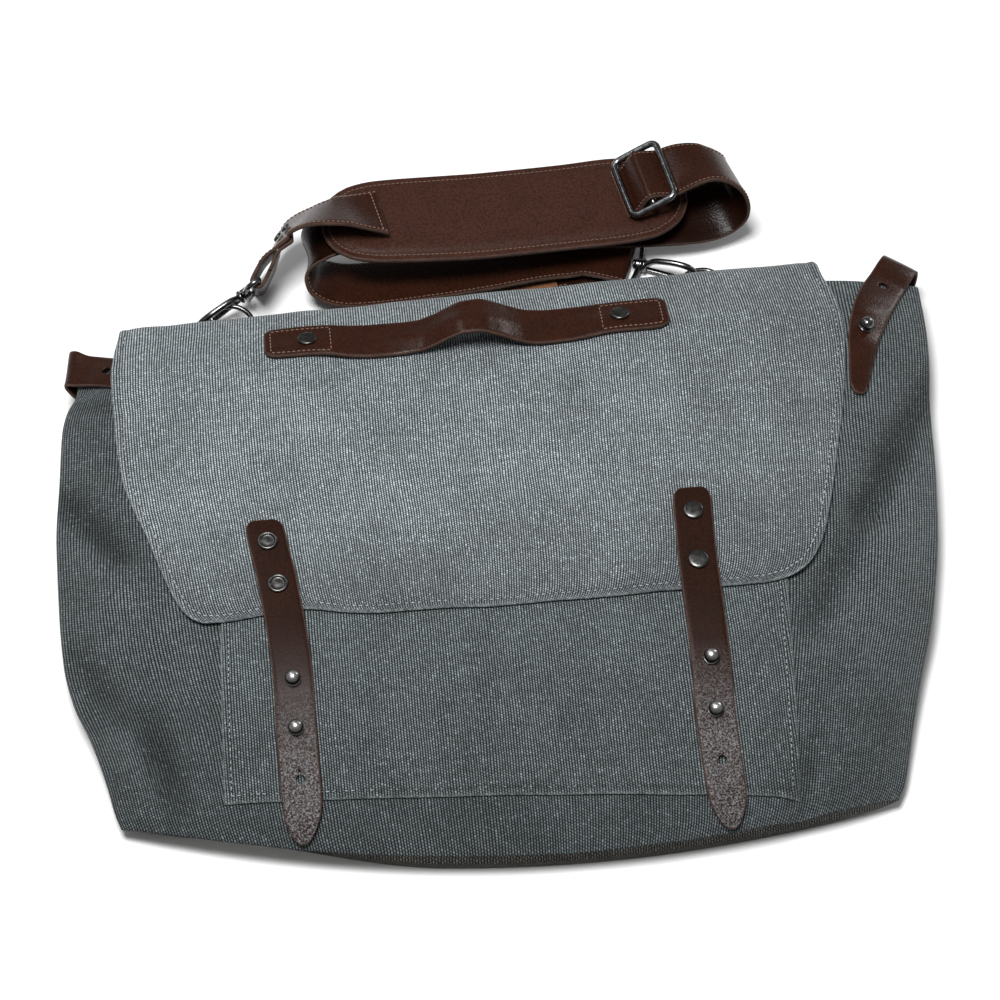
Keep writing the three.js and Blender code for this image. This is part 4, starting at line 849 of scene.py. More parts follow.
def canvas(name, dark, light, worn, shade, painted_side_light=(0, 1, 1, 1)):
    """Washed canvas: ribs of small beads along the cloth, faded patches and worn edges.

    shade: painted shade, with two places along the cloth and how much darker it is painted at the first than
    at the second.
    The last argument: painted light and shade from left to right, two places and the tone painted at each.
    """
    s = Shader(name, sheen_weight=0.1, sheen_roughness=0.5, specular_ior_level=0.1)
    vector, across, along, edge = s.cloth()
    wander = s.noise(s.scaled(vector, 1, 0.4, 0), 16, 2) * 1.8
    rib_at = (across + wander) * (1 / RIB_PITCH)
    rib = s.math("FLOOR", rib_at)
    pick_at = along * (1 / PICK_PITCH) + (rib * 0.46 + s.noise(vector, 4.0, 1))
    spot = s.add("ShaderNodeCombineXYZ", {0: rib, 1: s.math("FLOOR", pick_at)})
    bead = s.add("ShaderNodeTexWhiteNoise", {"Vector": spot}, "Value", noise_dimensions="2D")
    height = s.math("POWER", s.arch(rib_at), 2.4) * s.fit(s.arch(pick_at), 0, 1, 0.12, 1)
    patch = s.fit(s.noise(s.scaled(vector, 1, 0.8, 0), 46, 4, 0.6), 0.3, 0.7, 0.8, 1.15)
    slub = s.fit(s.noise(s.scaled(vector, 0.07, 1, 0), 2.4, 2), 0.3, 0.7, 0.9, 1.1)
    pale = s.fit(bead, 0.93, 1) * 0.6
    tone = height * (s.fit(bead, 0, 1, 0.68, 1.16) + pale) * (patch * slub)
    # Painted shade: darker towards one end along the cloth. Painted light and shade: lighter or darker from
    # left to right.
    tone = tone * s.fit(along, *shade, 1) * s.fit(s.part(s.place(), 0), *painted_side_light)
    # Painted shade: the body's canvas is painted darker in its dents and lighter on its ridges.
    dent_shade = s.add("ShaderNodeAttribute", {}, "Fac", attribute_name="dent_shade")
    colour = s.mix(tone * s.fit(dent_shade, -1, 1, 1.55, 0.45), dark, light)
    colour = s.mix(s.fit(edge, 1.6, 0.2) * s.fit(bead, 0, 1, 0.1, 0.6), colour, worn)
    # Painted shade: darker along the groove of the stitch line.
    seam = s.math("ABSOLUTE", edge - HEM_WIDTH)
    colour = s.mix(s.fit(seam, 1.6, 0, 0, 0.4), colour, dark)
    return s.skin(colour, s.fit(bead, 0, 1, 0.95, 0.8), height, 0.45, 0.6)


def leather(name, dark, base, pale, gloss=0.21, pebble=0.25, gleam=0.16, pebble_and_sheen=None):
    """Waxed leather: fine grain, slightly clouded colour, rubbed edges.

    The last argument: two places along the strap between which its grain comes up, with a painted grey sheen
    and painted glints.
    """
    s = Shader(name, specular_ior_level=gleam)
    along, edge = s.cloth()[2:]
    place = s.place()
    grain = s.cells(place, GRAIN_SIZE)
    fine = s.noise(place, 0.5, 3, 0.6)
    cloud = s.fit(s.noise(place, 17, 4, 0.6), 0.25, 0.75)
    colour = s.mix(cloud, dark, base)
    colour = s.mix(s.fit(fine, 0.45, 0.8, 0, 0.2), colour, pale)
    colour = s.mix(s.fit(grain, 0.3, 0.6, 0, 0.42), colour, CREVICE)
    colour = s.mix(s.fit(edge, 1.8, 0.5, 0, 0.15), colour, pale)
    rough = s.fit(cloud, 0, 1, gloss + 0.05, gloss - 0.03) + fine * 0.1
    strength = 0.6
    if pebble_and_sheen is not None:
        strength = s.fit(along, *pebble_and_sheen, 0.12, 0.9)
        # Painted sheen: grey with painted glints over the lower part of the strap, where light glances off
        # its grain.
        painted_glints = s.fit(s.noise(place, 1.0, 2, 0.7), 0.43, 0.7, 0.03, 1.0)
        colour = s.mix(s.fit(along, *pebble_and_sheen) * painted_glints, colour, PEBBLE_SHEEN)
    return s.skin(colour, rough, fine * 0.35 - grain * 0.8, pebble, strength)


def raw_edge(name, dark, pale):
    """Cut leather edge: layered fibres."""
    s = Shader(name, specular_ior_level=0.3)
    place = s.place()
    fibre = s.noise(s.scaled(place, 0.4, 0.4, 2.0), 1.0, 4, 0.65)
    colour = s.mix(s.fit(fibre + s.noise(place, 9, 3) * 0.6, 0.55, 1.05), dark, pale)
    return s.skin(colour, s.fit(fibre, 0, 1, 0.7, 0.9), fibre, 0.3, 0.6)


def suede(name, dark, pale):
    """Flesh side of the leather: short nap in patches."""
    s = Shader(name, sheen_weight=0.4, sheen_roughness=0.4, specular_ior_level=0.1)
    place = s.place()
    nap = s.noise(place, 0.7, 4, 0.7)
    colour = s.mix(s.fit(nap * 0.5 + s.noise(place, 8, 4, 0.6) * 0.8, 0.4, 0.95), dark, pale)
    return s.skin(colour, s.fit(nap, 0, 1, 0.85, 1.0), nap, 0.4, 0.8)


def gunmetal(name, dark, pale, gloss, crown=(-1, -0.9)):
    """Plated metal with fine rub marks.

    The last argument: two upward leans of the surface between which it goes from a painted dark shade to a
    painted bright top.
    """
    s = Shader(name, metallic=1.0)
    place = s.place()
    cloud = s.noise(place, 3.5, 4, 0.6)
    rub = s.noise(s.scaled(place, 3.0, 0.5, 1.0), 0.6, 3, 0.6)
    rough = s.fit(cloud, 0.3, 0.7, gloss, gloss + 0.1) + rub * 0.1
    upward = s.part(s.add("ShaderNodeTexCoord", {}, "Normal"), 2)
    plated = s.mix(s.fit(cloud + rub * 0.5, 0.5, 1.0), dark, pale)
    # Painted light and shade: metal facing down is painted dark, metal facing up keeps its plated bright
    # colour.
    colour = s.mix(s.fit(upward, *crown), PAINTED_METAL_SHADE, plated)
    return s.skin(colour, rough, rub, 0.04, 0.4)


def thread(name, dark, pale):
    s = Shader(name, sheen_weight=0.3, specular_ior_level=0.2)
    place = s.place()
    ply = s.noise(place, 0.45, 2)
    colour = s.mix(s.fit(ply + s.noise(place, 5, 3) * 0.6, 0.5, 1.1), dark, pale)
    return s.skin(colour, s.fit(ply, 0, 1, 0.7, 0.9), ply, 0.2, 0.6)


def floor_paint(name, colour, shade):
    s = Shader(name, specular_ior_level=0.1)
    cloud = s.noise(s.place(), 120, 3)
    return s.final(base_color=s.mix(cloud, colour, shade), roughness=s.fit(cloud, 0, 1, 0.8, 0.9))


# Painted light and shade: the flap's canvas is a lighter copy of the body's cloth, lit as if facing up. The
# shade and left-to-right values of each canvas are painted shade and painted light.
CANVAS = canvas(
    "canvas",
    (0.003, 0.0034, 0.0036),
    (0.188, 0.218, 0.226),
    (0.16, 0.175, 0.175),
    (-174, -20, 0.78),
    (-60, 230, 1, 1.25),
)
CANVAS_POCKET = canvas(
    "pocket_canvas", (0.003, 0.0034, 0.0036), (0.26, 0.302, 0.31), (0.2, 0.22, 0.22), (-157, -20, 0.74)
)
CANVAS_FLAP = canvas(
    "flap_canvas",
    (0.006, 0.0068, 0.0072),
    (0.48, 0.542, 0.568),
    (0.26, 0.28, 0.285),
    (-38, 40, 0.58),
    (60, 200, 1, 0.78),
)
CANVAS_BASE = canvas(
    "base_canvas", (0.03, 0.029, 0.027), (0.37, 0.36, 0.325), (0.2, 0.19, 0.18), (-194, -174, 1)
)
LEATHER_TONES = ((0.02, 0.006, 0.0029), (0.031, 0.0096, 0.0047), (0.06, 0.03, 0.02))
LEATHER = leather("leather", *LEATHER_TONES)
LEATHER_BACK = leather("leather_back", *LEATHER_TONES, gloss=0.24)
LEATHER_CLOSURE = leather(
    "closure_leather",
    (0.013, 0.0041, 0.0022),
    (0.021, 0.0069, 0.0036),
    (0.05, 0.028, 0.021),
    gloss=0.34,
    pebble=0.5,
    gleam=0.07,
    pebble_and_sheen=(-70, -122),
)
# Darker copy of the leather, painted shade: on the underside of the long strap inside its bend, and on the
# walls of bored holes.
LEATHER_PAINTED_SHADE = leather(
    "painted_shade_leather", (0.008, 0.0026, 0.0014), (0.013, 0.0042, 0.0022), (0.03, 0.015, 0.01), gleam=0.1
)
LEATHER_PAD = leather(
    "pad_leather", (0.036, 0.0134, 0.0084), (0.05, 0.0194, 0.0123), (0.06, 0.033, 0.024), gloss=0.3
)
LEATHER_EDGE = raw_edge("raw_edge", (0.02, 0.009, 0.006), (0.07, 0.037, 0.026))
SUEDE = suede("suede", (0.09, 0.036, 0.016), (0.24, 0.11, 0.055))
METAL = gunmetal("gunmetal", (0.06, 0.06, 0.063), (0.2, 0.2, 0.205), 0.12)
METAL_BRUSHED = gunmetal("brushed_gunmetal", (0.04, 0.04, 0.0395), (0.125, 0.123, 0.12), 0.22)
METAL_POLISHED = gunmetal("polished_gunmetal", (0.3, 0.296, 0.29), (0.6, 0.59, 0.58), 0.24, (0.42, 0.86))
THREAD_GREY = thread("grey_thread", (0.2, 0.22, 0.224), (0.44, 0.47, 0.48))
THREAD_TAN = thread("tan_thread", (0.1, 0.05, 0.033), (0.28, 0.16, 0.11))
THREAD_BROWN = thread("brown_thread", (0.07, 0.036, 0.025), (0.2, 0.115, 0.08))
LEATHER_SET = [LEATHER, LEATHER_BACK, LEATHER_EDGE]
LONG_SET = [LEATHER, LEATHER_PAINTED_SHADE, LEATHER_EDGE, SUEDE]


# Surface of the front
left_reach, right_reach, crown_at = curves(SECTION, "y", "left", "right", "crown")
left_fold_at, right_fold_at, lift_at = curves(SECTION, "y", "left_fold", "right_fold", "lift")
front_rise = curve(FRONT_PROFILE, "across", "rise")
back_rise = curve(BACK_PROFILE, "across", "rise")
base_tuck = curve(BASE_FOLD, "down", "tuck")


def sag(x):
    away = np.asarray(x, float) - SAG_X
    left = SAG_LEFT_RISE * (away / SAG_LEFT_REACH) ** 2
    right = SAG_RIGHT_RISE * (away / SAG_RIGHT_REACH) ** 2
    return np.where(away < 0, left, right)


def sag_share(section_y):
    return smooth(SAG_TOP, BASE_Y, section_y)


def section_of(x, y):
    """The section that passes through a plan point."""
    section_y = np.asarray(y, float)
    for _ in range(12):
        section_y = y - sag(x) * sag_share(section_y)
    return section_y


def by_side(x, left, right, section_y):
    return np.where(np.asarray(x) < 0, left(section_y), right(section_y))


def crease_height(x, y):
    """Height of the dents and ridges at a plan point."""
    height = np.zeros(np.broadcast(x, y).shape)
    for *line, depth, wide in zip(*CREASES.values()):
        share, off = near_line(x, y, *line)
        swell = np.sin(np.pi * (CREASE_WAVE[0] + CREASE_WAVE[1] * share))
        fade = CREASE_ENDS + (1 - CREASE_ENDS) * swell
        height += depth * fade * bell(off, wide)
    return height


def relief(x, y, across):
    """Dents, ridges and soft waves of the front."""
    height = crease_height(x, y)
    calm = 1.0
    for middle in CALM_X:
        calm = calm - np.exp(-(((x - middle) / CALM_REACH) ** 4))
    warp_x = x + WARP_X[0] * np.sin(y / WARP_X[1])
    warp_y = y + WARP_Y[0] * np.sin(x / WARP_Y[1])
    for wave, turn, rise, phase in zip(*RIPPLES.values()):
        line = warp_x * np.cos(np.radians(turn)) + warp_y * np.sin(np.radians(turn))
        height += calm * rise * np.sin(tau * line / wave + phase)
    return height * (1 - across**12)


def front_z(x, section_y, y, inset):
    reach = by_side(x, left_reach, right_reach, section_y)
    fold = by_side(x, left_fold_at, right_fold_at, section_y)
    across = np.minimum(1, np.abs(x) / reach)
    return fold + (crown_at(section_y) - inset - fold) * front_rise(across) + relief(x, y, across)


def front_height(x, y):
    return front_z(x, section_of(x, y), y, 0)


def back_height(x, y):
    section_y = section_of(x, y)
    reach = by_side(x, left_reach, right_reach, section_y)
    fold = by_side(x, left_fold_at, right_fold_at, section_y)
    lift = lift_at(section_y)
    return lift + (fold - lift) * back_rise(np.minimum(1, np.abs(x) / reach))


def on_front(x, y, lift):
    x, y, lift = np.broadcast_arrays(np.asarray(x, float), np.asarray(y, float), lift)
    return stacked(x, y, front_height(x, y) + lift)


def front_normal(x, y):
    step = NORMAL_STEP
    x = np.asarray(x, float)
    y = np.asarray(y, float)
    dx = (front_height(x + step, y) - front_height(x - step, y)) / (2 * step)
    dy = (front_height(x, y + step) - front_height(x, y - step)) / (2 * step)
    return unit(stacked(-dx, -dy, np.ones_like(dx)))


def distance_to(line, x, y):
    """Plan distance from points to a polyline."""
    best = np.full(np.shape(x), 1e9)
    for start, end in zip(line[:-1], line[1:]):
        best = np.minimum(best, near_line(x, y, *start, *end)[1])
    return best


# Body
even = np.linspace(-1, 1, BODY_COLUMNS)
body_shares = (1 + BODY_CROWDING) * even - BODY_CROWDING * even**3
body_rows = spread(MOUTH_Y - BASE_Y, BODY_STEP, BODY_EDGE_STEPS) + BASE_Y
# Width of the cloth to each column, measured across one section with its steep sides drawn flatter.
section_x = np.where(body_shares < 0, left_reach(0), right_reach(0)) * body_shares
section_rise = STEEP_SHARE * np.diff(front_z(section_x, 0.0, 0.0, 0))
section_step = WEAVE_SPREAD * np.hypot(np.diff(section_x), section_rise)
cloth_across = np.concatenate([[0], np.cumsum(section_step)])


def body_skin(wall, side_wall, base_wall):
    """One skin of the body: loops of points from the base to the mouth, then the base fold."""
    share = body_shares[None]
    row_y = body_rows[:, None]
    section_y = np.maximum(row_y, BASE_Y + base_wall)
    reach = by_side(share, left_reach, right_reach, section_y)
    outer = share * reach
    x = share * (reach - side_wall)
    dip = RIM_DIP * smooth(*RIM_DIP_SHARE, share) * smooth(RIM_DIP_FROM, MOUTH_Y, row_y)
    y = section_y + sag(outer) * sag_share(section_y) - dip
    front = stacked(x, y, front_z(outer, section_y, y, wall))
    fold = by_side(share, left_fold_at, right_fold_at, section_y)
    lift = lift_at(section_y) + wall
    tuck = BACK_EDGE_TUCK + BACK_EDGE_TUCK_LEFT * smooth(*BACK_EDGE_SHARE, share)
    tuck = tuck * (1 - np.abs(share) ** 6) * smooth(BACK_EDGE_TOP, BASE_Y, row_y)
    back = stacked(x, y + tuck, lift + (fold - lift) * back_rise(np.abs(share)))
    loops = np.concatenate([front, back[:, -2:0:-1]], axis=1)
    for _ in range(FOLD_ROUNDING):
        loops = loops / 2 + np.roll(loops, 1, axis=1) / 4 + np.roll(loops, -1, axis=1) / 4
    return loops


last = BODY_COLUMNS - 1
around = 2 * last
down = np.linspace(0, 1, BASE_STEPS + 1)[1:-1]
body_points = []
body_faces = []
body_cloth = []
skin_size = len(body_rows) * around + len(down) * (last - 1)
for which, walls in enumerate(((0, 0, 0), (CANVAS_WALL, SIDE_FOLD_WALL, BASE_WALL))):
    loops = body_skin(*walls)
    above = loops[0, 1:last]
    under = loops[0, :last:-1]
    base = above[None] + (under - above)[None] * down[:, None, None]
    base[..., 1] += BASE_TUCK * base_tuck(down)[:, None] * (1 - np.abs(body_shares[1:-1]) ** 5)
    body_points += [loops.reshape(-1, 3), base.reshape(-1, 3)]
    turn = 1 if which == 0 else -1
    ids = which * skin_size + np.arange(len(body_rows) * around).reshape(-1, around)
    wall_ids = np.concatenate([ids, ids[:, :1]], axis=1)
    body_faces.append((quads(wall_ids)[:, ::turn], 0))
    inner_ids = which * skin_size + len(body_rows) * around + np.arange(len(down) * (last - 1))
    rows = [ids[0, :last + 1]]
    for row in inner_ids.reshape(len(down), -1):
        rows.append(np.concatenate([ids[0, :1], row, ids[0, last:last + 1]]))
    rows.append(np.concatenate([ids[0, :1], ids[0, :last - 1:-1]]))
    base_faces = quads(np.array(rows))[:, ::-turn]
    ends = np.array([len(set(face)) for face in base_faces.tolist()])
    body_faces.append((base_faces[ends == 4], 1))
    corners = [list(dict.fromkeys(face)) for face in base_faces[ends == 3].tolist()]
    body_faces.append((np.array(corners), 1))
    loop_across = np.concatenate([cloth_across, 2 * cloth_across[-1] - cloth_across[-2:0:-1]])
    loop_along = np.repeat(body_rows, around)
    seam = np.full(len(loop_along), NO_HEM)
    body_cloth.append(stacked(np.tile(loop_across, len(body_rows)), loop_along, seam))
    base_across = np.tile(cloth_across[1:-1], len(down))
    base_along = BASE_Y - np.repeat(down, last - 1) * BASE_CLOTH
    body_cloth.append(stacked(base_across, base_along, np.full(len(base_along), NO_HEM)))
rim = (len(body_rows) - 1) * around + np.arange(around + 1) % around
rim_faces = stacked(rim[:-1], rim[1:], skin_size + rim[1:], skin_size + rim[:-1])
body_faces.append((rim_faces, 0))
body_points = np.concatenate(body_points)
body = make("body_canvas", body_points, body_faces, [CANVAS, CANVAS_BASE], np.concatenate(body_cloth))
# Painted shade for the canvas: dents painted darker and ridges lighter, above the height where they show.
dent_shade = np.clip(-crease_height(*body_points[:, :2].T) / DENT_SHADE_FULL, *DENT_SHADE_LIMITS)
dent_shade = dent_shade * smooth(*DENT_SHADE_ABOVE, body_points[:, 2])
body.data.attributes.new("dent_shade", "FLOAT", "POINT").data.foreach_set("value", dent_shade.astype(np.float32))
stand_for(body, "body")

# Front pocket
pocket_width = POCKET_TOP[1][0] - POCKET_TOP[0][0]
pocket_height = POCKET_TOP[0][1] - POCKET_BOTTOM[0][1]
pocket_u = (spread(pocket_width, SHEET_STEP, POCKET_EDGE_STEPS) / pocket_width)[None, :, None]
pocket_v = (spread(pocket_height, SHEET_STEP, POCKET_EDGE_STEPS) / pocket_height)[:, None, None]
lower = np.array(POCKET_BOTTOM[0]) + (np.array(POCKET_BOTTOM[1]) - POCKET_BOTTOM[0]) * pocket_u
upper = np.array(POCKET_TOP[0]) + (np.array(POCKET_TOP[1]) - POCKET_TOP[0]) * pocket_u
pocket_plan = lower + (upper - lower) * pocket_v
pocket_x = pocket_plan[..., 0]
pocket_y = pocket_plan[..., 1]
pocket_rim = np.concatenate([pocket_plan[::-1, 0], pocket_plan[0], pocket_plan[:, -1]])[::4]
pocket_rim = np.concatenate([pocket_rim, pocket_plan[-1:, -1]])
pocket_edge = distance_to(pocket_rim, pocket_x, pocket_y)
pocket_top_edge = POCKET_TOP[0][1] - pocket_y
pocket_middle = on_front(pocket_x, pocket_y, POCKET_GAP + POCKET_THICK / 2)
pocket_cloth = stacked(pocket_x, pocket_y, np.minimum(pocket_edge, pocket_top_edge))


def hem_relief(edge, place):
    """Rolled hem: a low ridge along the rim, a groove with puckers along the stitches."""
    ridge = HEM_RIDGE * bell(edge - HEM_RIDGE_AT, HEM_RIDGE_WIDE)
    groove = HEM_GROOVE * bell(edge - HEM_WIDTH, HEM_GROOVE_WIDE)
    pucker = PUCKER * np.sin(tau * place / PUCKER_PITCH) * bell(edge - PUCKER_AT, PUCKER_WIDE)
    return (ridge - groove + pucker) * smooth(0, 1, edge)


def panel(name, middle, thick, round_by, height, cloth, material):
    """Canvas panel with a round rim, raised by height on its upper side."""
    half = thick / 2 * rounded(cloth[..., 2], round_by)
    points, sheet, top, below = pillow(middle, half + height * (half > 0), half, cloth)
    return make(name, points, [(top, 0), (below, 0)], [material], sheet)


pocket_raise = hem_relief(pocket_edge, pocket_x + pocket_y)
pocket_raise += POCKET_BULGE * smooth(*POCKET_BULGE_EDGE, pocket_edge) * smooth(*POCKET_BULGE_Y, pocket_y)
pocket = panel(
    "pocket_canvas", pocket_middle, POCKET_THICK, POCKET_ROUND, pocket_raise, pocket_cloth, CANVAS_POCKET
)
stand_for(pocket, "front_pocket")

# Flap
flap_left, flap_right = curves(FLAP_OUTLINE, "y", "left", "right")
hem_up = curve(FLAP_HEM, "x", "up")
fold_reach, fold_rise = curves(FLAP_FOLD, "step", "reach", "rise")


def flap_lift(x, y):
    over_pocket = FLAP_OVER_POCKET * smooth(*FLAP_POCKET_Y, y)
    over_strap = FLAP_OVER_STRAP * smooth(*FLAP_STRAP_X, x) * smooth(*FLAP_STRAP_Y, y)
    return FLAP_GAP + over_pocket + over_strap


flap_u = (spread(FLAP_WIDTH, SHEET_STEP, EDGE_STEPS) / FLAP_WIDTH)[None]
flap_rows = np.concatenate([
    FLAP_HEM_Y + np.array(EDGE_STEPS[:-1]),
    np.linspace(FLAP_HEM_Y + EDGE_STEPS[-1], FLAP_TOP_Y, int((FLAP_TOP_Y - FLAP_HEM_Y) / SHEET_STEP)),
])[:, None]
flap_x = -flap_left(flap_rows) + (flap_left(flap_rows) + flap_right(flap_rows)) * flap_u
flap_y = flap_rows + hem_up(flap_x) * smooth(30, FLAP_HEM_Y, flap_rows)
flap_front = on_front(flap_x, flap_y, flap_lift(flap_x, flap_y) + FLAP_THICK / 2)
crest = flap_front[-1]
fold_step = np.linspace(0, FLAP_FOLD["step"][-1], FLAP_FOLD_ROWS)[1:, None]
fold_out = fold_reach(fold_step)
fold_height = (crest[:, 2] - FLAP_ROOT_Z)[None]
fold_share = FLAP_FOLD_LEAST + (1 - FLAP_FOLD_LEAST) * fold_height / FLAP_FOLD_HEIGHT
reach = fold_out * np.where(fold_out > 0, fold_share, 1)
skew = FLAP_SKEW * crest[None, :, 0] * np.clip(fold_out / FLAP_SKEW_REACH, 0, 1)
fold_z = FLAP_ROOT_Z + fold_height * fold_rise(fold_step)
flap_back = stacked(crest[None, :, 0], FLAP_TOP_Y + reach + skew, fold_z)
flap_middle = np.concatenate([flap_front, flap_back])
soften = np.zeros(len(flap_middle))
soften[len(flap_front) - FLAP_SOFT_ROWS[0]:len(flap_front) + FLAP_SOFT_ROWS[1]] = 1
for _ in range(FLAP_SOFT_PASSES):
    even_rows = flap_middle.copy()
    even_rows[1:-1] = (flap_middle[:-2] + flap_middle[2:]) / 2
    flap_middle = flap_middle + (even_rows - flap_middle) * 0.5 * soften[:, None, None]
flap_rim = np.concatenate([
    stacked(flap_x[::-1, 0], flap_y[::-1, 0]),
    stacked(flap_x[0], flap_y[0]),
    stacked(flap_x[:, -1], flap_y[:, -1]),
])
flap_rim = np.concatenate([flap_rim[:-1:3], flap_rim[-1:]])
front_edge = distance_to(flap_rim, flap_x, flap_y)
side_edge = np.minimum(flap_u, 1 - flap_u) * FLAP_WIDTH
root_edge = np.linspace(FLAP_ROOT_LENGTH, 0, len(flap_back))[:, None]
flap_edge = np.concatenate([front_edge, np.minimum(side_edge, root_edge)])
flap_along = lengths(flap_middle[:, FLAP_COLUMN])[:, None] + FLAP_HEM_Y
flap_across = FLAP_WEAVE * flap_middle[..., 0] + (1 - FLAP_WEAVE) * (flap_u - 0.5) * FLAP_WIDTH
flap_cloth = stacked(flap_across, flap_along, flap_edge)
flap_raise = hem_relief(flap_edge, flap_middle[..., 0] * 0.8 + flap_middle[..., 1])
flap = panel("flap_canvas", flap_middle, FLAP_THICK, FLAP_ROUND, flap_raise, flap_cloth, CANVAS_FLAP)
stand_for(flap, "flap")


def inset_line(line, inset):
    """A plan polyline moved to its left, evenly resampled."""
    length = lengths(line)
    at = np.linspace(0, length[-1], int(length[-1] / 1.5))
    line = np.stack([np.interp(at, length, line[:, k]) for k in range(2)], -1)
    ahead = unit(np.gradient(line, axis=0))
    return line + inset * stacked(-ahead[:, 1], ahead[:, 0])


flap_seam = inset_line(flap_rim, HEM_WIDTH)
flap_seam_lift = flap_lift(*flap_seam.T) + FLAP_THICK - FLAP_THREAD_SINK
flap_stitches = stitches(
    "flap_stitches",
    [(on_front(*flap_seam.T, flap_seam_lift), front_normal(*flap_seam.T))],
    THREAD_GREY,
    "flap_canvas",
    *FLAP_THREAD,
)
pocket_line = np.array([pocket_plan[-1, 0], pocket_plan[0, 0], pocket_plan[0, -1], pocket_plan[-1, -1]])
pocket_sides = [inset_line(pocket_line[k:k + 2], HEM_WIDTH)[2:-2] for k in range(3)]
pocket_lift = POCKET_GAP + POCKET_THICK - POCKET_THREAD_SINK
pocket_stitches = stitches(
    "pocket_stitches",
    [(on_front(*side.T, pocket_lift), front_normal(*side.T)) for side in pocket_sides],
    THREAD_GREY,
    "canvas",
    *POCKET_THREAD,
)


# Caps and studs
def lathed(node, profile, seat, axis, sides, metal):
    """Turned metal piece that stands for a node."""
    rings = lathe_rings(profile, seat, axis, sides)
    stand_for(sweep(f"{node}_metal", rings, False, [metal]), node)


def rivet_cap(node, seat, axis, radius=RIVET_RADIUS, profile=CAP_DOMED):
    profile = [(share * radius, height) for share, height in profile]
    lathed(node, profile, seat, axis, CAP_SIDES, METAL_BRUSHED)


def ball_stud(node, seat, axis, depth, metal):
    ball = STUD_BALL * stacked(np.cos(BALL_ANGLES), BALL_RISE + np.sin(BALL_ANGLES))
    lathed(node, [(STUD_FOOT[0][0], -depth), *STUD_FOOT, *ball], seat, axis, STUD_SIDES, metal)


def carry_cloth(whole, cut):
    """Gives the points of a cut mesh the cloth places of the nearest points of the whole one."""
    tree = KDTree(len(whole.vertices))
    for k, vertex in enumerate(whole.vertices):
        tree.insert(vertex.co, k)
    tree.balance()
    known = whole.attributes["cloth"].data
    places = [known[tree.find(vertex.co)[1]].vector for vertex in cut.vertices]
    layer = cut.attributes.get("cloth") or cut.attributes.new("cloth", "FLOAT_VECTOR", "POINT")
    layer.data.foreach_set("vector", np.array(places, np.float32).ravel())


def bore(piece, base, axis, slit=None):
    """Cuts a round hole, and a slit from it where one is given, right through a strap."""
    profile = ((STUD_HOLE, -BORE_REACH), (STUD_HOLE, BORE_REACH))
    rings = lathe_rings(profile, base, axis, HOLE_SIDES)
    # The cutters pass their painted-shade leather to the walls of the hole.
    cutters = [sweep("hole_cutter", rings, False, [LEATHER_PAINTED_SHADE])]
    if slit is not None:
        far = np.asarray(base) + slit
        side = unit(np.cross(slit, axis)) * SLIT_HALF
        corner = np.array([base - side, base + side, far + side, far - side])
        deep = BORE_REACH * unit(axis)
        block = np.stack([corner - deep, corner + deep])
        cutters.append(sweep("slit_cutter", block, False, [LEATHER_PAINTED_SHADE]))
    whole = piece.data.copy()
    for cutter in cutters:
        modifier = piece.modifiers.new("hole", "BOOLEAN")
        modifier.operation = "DIFFERENCE"
        modifier.solver = "EXACT"
        modifier.material_mode = "TRANSFER"
        modifier.object = cutter
        with bpy.context.temp_override(object=piece, active_object=piece):
            bpy.ops.object.modifier_apply(modifier=modifier.name)
        bpy.data.objects.remove(cutter)
    carry_cloth(whole, piece.data)
    bpy.data.meshes.remove(whole)


# Closing straps
def closure_lift(x, y):
    on_flap = flap_lift(x, y) + FLAP_THICK + LEATHER_GAP
    on_pocket = POCKET_GAP + POCKET_THICK + LEATHER_GAP
    return on_pocket + (on_flap - on_pocket) * smooth(*CLOSURE_BRIDGE_Y, y)


tip_half = curve(CLOSURE_TIP, "from", "half")
top_half = curve(CLOSURE_TOP, "from", "half")
TIP_LENGTH = CLOSURE_TIP["from"][-1]
TOP_LENGTH = CLOSURE_TOP["from"][-1]


def strap_columns(half):
    """Places across a strap of varying half width, close together at its edges."""
    columns = spread(2 * CLOSURE_HALF, COLUMN_STEP) - CLOSURE_HALF
    return columns[None] * half / CLOSURE_HALF


for side, closure in CLOSURES.items():
    line = closure["line"]
    tip_y = line["y"][0]
    top_y = line["y"][-1]
    middle_x = curve(line, "y", "x")
    y = (tip_y + spread(top_y - tip_y, CLOSURE_STEP, EDGE_STEPS[:5]))[:, None]
    half = np.where(y < tip_y + TIP_LENGTH, tip_half(y - tip_y), CLOSURE_HALF)
    half = np.where(y > top_y - TOP_LENGTH, top_half(top_y - y), half)
    offset = strap_columns(half)
    x = middle_x(y) + offset
    y = np.broadcast_to(y, x.shape)
    edge = np.minimum(half - np.abs(offset), np.minimum(y - tip_y, top_y - y))
    middle = on_front(x, y, closure_lift(x, y) + CLOSURE_THICK / 2)
    cloth = stacked(offset, y, edge)
    name = f"closure_strap_{side}"
    looks = [LEATHER_CLOSURE, LEATHER, LEATHER_EDGE]
    piece = plate(f"{name}_leather", middle, CLOSURE_THICK / 2, cloth, looks)

    def seat_at(place, lift):
        spot = middle_x(place)
        seat = on_front(spot, place, closure_lift(spot, place) + CLOSURE_THICK + lift)
        return seat, front_normal(spot, place)

    for place in closure["studs"].values():
        bore(piece, *seat_at(place, 0))
    bore(piece, *seat_at(closure["hole"], 0), closure["slit"])
    stand_for(piece, name)
    for level, place in closure["rivets"].items():
        rivet_cap(f"closure_rivet_{side}_{level}", *seat_at(place, SEAT), RIVET_RADIUS, closure["cap"])
    for level, place in closure["studs"].items():
        stud = f"closure_stud_{side}_{level}"
        ball_stud(stud, *seat_at(place, SEAT), CLOSURE_THICK + SEAT, METAL_POLISHED)

# Carrying handle
handle_y, handle_half, handle_near, handle_far = curves(HANDLE, "x", "y", "half", "near", "far")


